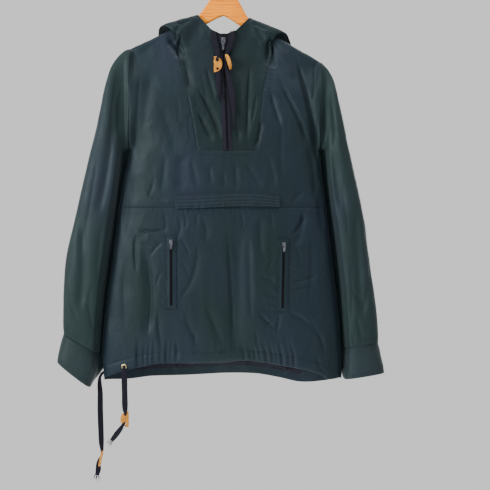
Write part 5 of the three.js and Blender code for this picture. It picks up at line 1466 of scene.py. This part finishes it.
# Cords with their toggles and frayed ends
# Way across a cord, its toggle, then rows of x, y, z, shares of width and thickness, and twist in degrees
CORDS = {
    "hood_cord_right": ((1, 0, 0), "hood_toggle_right", (
        (-24, -23.4, -173, 0.9, 1, 0), (-23, -25.2, -182, 1, 1, 0), (-19.8, -26.5, -196, 1, 1, 6),
        (-16.2, -28, -212, 0.95, 1, 10), (-15.2, -33, -225, 0.6, 1.5, 0),
        (-15.4, -37.4, -231, 0.42, 2.2, 0), (-15.6, -32.4, -236, 0.42, 2.4, 0),
        (-15.4, -31.4, -244, 0.6, 1.6, 0), (-14.2, -33.6, -252, 0.8, 1.2, 12),
        (-13.4, -34.2, -262, 0.9, 1, 20), (-12.8, -36.4, -280, 0.85, 1, 10),
        (-11, -40.2, -306, 0.5, 1.2, 0),
    )),
    "hood_cord_left": ((1, 0, 0), "hood_toggle_left", (
        (16.5, -23.4, -171, 0.9, 1, 0), (16, -25, -181, 1, 1, 0), (13.4, -26.2, -194, 1, 1, -6),
        (8.6, -26.6, -208, 0.95, 1, -10), (3.4, -27.4, -222, 0.7, 1.3, 0),
        (2.4, -29.6, -240, 0.55, 1.8, 0), (5.4, -34.6, -256, 0.7, 1.3, 12),
        (9.4, -37.2, -272, 0.95, 1, 20), (14, -39.4, -290, 1, 1, 10), (18.5, -43.4, -330, 0.9, 1, 0),
        (20.5, -47, -368, 0.3, 1.4, 0),
    )),
    "hem_cord_front": ((1, 0, 0), "hem_toggle_front", (
        (-207.6, -38.2, -866.5, 0.42, 1.9, 0), (-207.5, -42, -870, 0.55, 1.6, 0),
        (-207.3, -43, -876, 0.9, 1, 0), (-206.8, -42.4, -890, 1, 1, 0),
        (-206.2, -41.6, -920, 0.98, 1, 2), (-205.6, -42.6, -945, 1, 1, 0),
        (-204.8, -45.6, -956, 0.8, 1.2, 0), (-204.4, -46.4, -961.5, 0.44, 2.2, 0),
        (-204.8, -40.6, -966, 0.44, 2.2, 0), (-205.6, -39.2, -974, 0.6, 1.6, 0),
        (-206.4, -41.6, -981, 0.44, 2.2, 0), (-208.4, -47, -984, 0.44, 2.2, 0),
        (-214, -46.6, -993, 0.75, 1.4, 15), (-223, -45, -1005, 0.95, 1.1, 25),
        (-233, -43.4, -1018, 0.7, 1.2, 20),
    )),
    "hem_cord_side": ((0, 1, 0), "hem_toggle_side", (
        (-251, 0, -880, 0.5, 1.4, 60), (-257.5, 0, -884, 0.5, 1.4, 60),
        (-262.6, 0, -893, 0.6, 1.2, 50), (-263.2, 0, -906, 0.8, 1, 62), (-262, 0, -925, 0.95, 1, 66),
        (-261.8, 0, -960, 1, 1, 68), (-260.5, 0, -1000, 1, 1, 66), (-259.2, -1, -1032, 0.9, 1, 60),
        (-257.4, -6, -1050, 0.5, 1.8, 40), (-259, -9.5, -1057, 0.42, 2.2, 20),
        (-263, -5, -1063, 0.5, 2, 40), (-265.4, -1, -1072, 0.8, 1.3, 60),
        (-266, 0, -1086, 0.95, 1, 70), (-268.6, 0, -1098, 0.7, 1.1, 70),
    )),
}
# Middle of each toggle's straight edge, then its turn and lean in degrees
TOGGLES = {
    "hood_toggle_right": (-22.5, -33.8, -241, 0, 0), "hood_toggle_left": (6.5, -30.6, -236, -75, -18),
    "hem_toggle_front": (-197.5, -43.3, -974, 180, 0), "hem_toggle_side": (-259, -6.6, -1062, -90, 12),
}


def hole(x, z):
    """Round hole 5.4 mm wide as a loop of 20 points."""
    angles = [2 * math.pi * k / 20 for k in range(20)]
    return [(x + 2.7 * math.cos(a), z + 2.7 * math.sin(a)) for a in angles]


TOGGLE_HALF = 16.5


def toggle_object(name, x, y, z, turn, lean):
    """Half-round leather toggle with two holes for its cord."""
    f = np.linspace(0, 1, 29)[:, None]
    ends = np.array([(0, -TOGGLE_HALF), (23.3, -TOGGLE_HALF), (23.3, TOGGLE_HALF), (0, TOGGLE_HALF)])
    arc = (1 - f) ** 3 * ends[0] + 3 * f * (1 - f) ** 2 * ends[1]
    arc += 3 * f * f * (1 - f) * ends[2] + f ** 3 * ends[3]
    flat = [(0.5 * math.sin(k * 1.9), TOGGLE_HALF * (1 - k / 4)) for k in range(1, 8)]
    place = Matrix.Translation((x * MM, y * MM, z * MM))
    place = place @ Matrix.Rotation(math.radians(lean), 4, "Y")
    place = place @ Matrix.Rotation(math.radians(turn), 4, "Z")
    loops = [arc.tolist() + flat, hole(7, 10), hole(8, -9)]
    return plate_from_outlines(name + "_leather", loops, 4, 1.1, place, LEATHER)


def fray_object(name, end, direction, across, count, length, tufts, seed):
    """Loose threads at a cord's end: thin tapering strands that spread and curl, drawn into tufts."""
    rng = np.random.default_rng(seed)
    verts = []
    faces = []
    uvs = []
    for k in range(count):
        u = k / (count - 1) - 0.5
        centre = round(u * (tufts - 1)) / (tufts - 1)
        u = centre + (u - centre) * 0.4
        start = end + across * u * 9 + rng.normal(0, 0.25, 3)
        reach = length * rng.uniform(0.55, 1.1)
        spread = across * u * rng.uniform(0.2, 0.9) + rng.normal(0, 0.1, 3)
        curl = rng.normal(0, 0.12, 3)
        first = len(verts)
        steps = 7
        for j in range(steps + 1):
            f = j / steps
            middle = start + (direction + spread * f + curl * f * f) * reach * f
            width = 0.55 * (1 - 0.8 * f)
            for corner in range(3):
                a = corner * 2 * math.pi / 3 + k
                corner_way = np.array([math.cos(a), math.sin(a), 0.3 * math.cos(a + 1)])
                verts.append((middle + corner_way * width) * MM)
                uvs.append((corner * 0.0004, f * reach * MM))
        for j in range(steps):
            for corner in range(3):
                a = first + j * 3 + corner
                b = first + j * 3 + (corner + 1) % 3
                faces.append((a, a + 3, b + 3, b))
        last = first + steps * 3
        faces.append((first, first + 1, first + 2))
        faces.append((last + 2, last + 1, last))
    return mesh_object(name, [tuple(v) for v in verts], faces, NAVY_CORD, uvs)


HALF_CORD = 6
HALF_THICK = 0.9
for seed, (name, (across, toggle, rows)) in enumerate(CORDS.items()):
    route = smooth_route(rows, 110)
    line = route[:, :3]
    radii = np.stack([HALF_CORD * route[:, 3], HALF_THICK * route[:, 4]], axis=1)
    twist = np.radians(route[:, 5])
    cord = tube_object(name + "_braid", line, radii, 14, NAVY_CORD, twist, across)
    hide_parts(name)
    direction = line[-1] - line[-4]
    direction /= np.linalg.norm(direction)
    wide = np.array(across, float) - direction * (direction @ np.array(across, float))
    angle = math.radians(route[-1, 5])
    wide = wide * math.cos(angle) + np.cross(direction, wide) * math.sin(angle)
    end = line[-1] - direction * 1.5
    fray = fray_object(name + "_fray", end, direction, wide, 22, 14, 3, 100 + seed)
    button = toggle_object(toggle, *TOGGLES[toggle])
    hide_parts(toggle)

# Floor and light
FLOOR_Z = -1.45
floor = bpy.data.meshes.new("floor")
corners = [(x, y, FLOOR_Z) for x, y in ((-1.3, -1.3), (1.3, -1.3), (1.3, 1.3), (-1.3, 1.3))]
floor.from_pydata(corners, [], [(0, 1, 2, 3)])
floor_object = bpy.data.objects.new("floor", floor)
bpy.context.scene.collection.objects.link(floor_object)
floor.materials.append(studio_board("pale_floor"))

world = bpy.data.worlds.new("studio")
bpy.context.scene.world = world
world.use_nodes = True
background = world.node_tree.nodes["Background"]
background.inputs["Color"].default_value = (1, 1, 1, 1)
background.inputs["Strength"].default_value = 0.9


def area_light(name, place, target, size, power):
    """White light of a width and height in metres and a power in watts, turned to a target."""
    light = bpy.data.lights.new(name, "AREA")
    light.shape = "RECTANGLE"
    light.size, light.size_y = size
    light.energy = power
    obj = bpy.data.objects.new(name, light)
    obj.location = place
    obj.rotation_euler = (Vector(target) - Vector(place)).to_track_quat("-Z", "Y").to_euler()
    bpy.context.scene.collection.objects.link(obj)
    return obj


area_light("key", (-1.75, -1.25, 0.05), (0, 0, -0.6), (0.9, 1.2), 68)
area_light("fill", (2.2, -1.6, 0.0), (0, 0, -0.6), (1.2, 1.4), 7)
area_light("top", (0.2, -0.6, 1.3), (0, 0, -0.4), (1.2, 0.8), 32)
area_light("low", (-0.6, -1.9, -1.9), (0, 0, -0.85), (1.4, 0.8), 25)
area_light("rear", (1.2, 2.3, 0.4), (0, 0, -0.5), (1.0, 1.4), 60)
inside_hem = area_light("inside_hem", (0.04, -0.1, -1.2), (0.04, 0.03, -0.87), (0.3, 0.08), 0.55)
inside_hem.data.spread = math.radians(64)
inside_hem.visible_camera = False
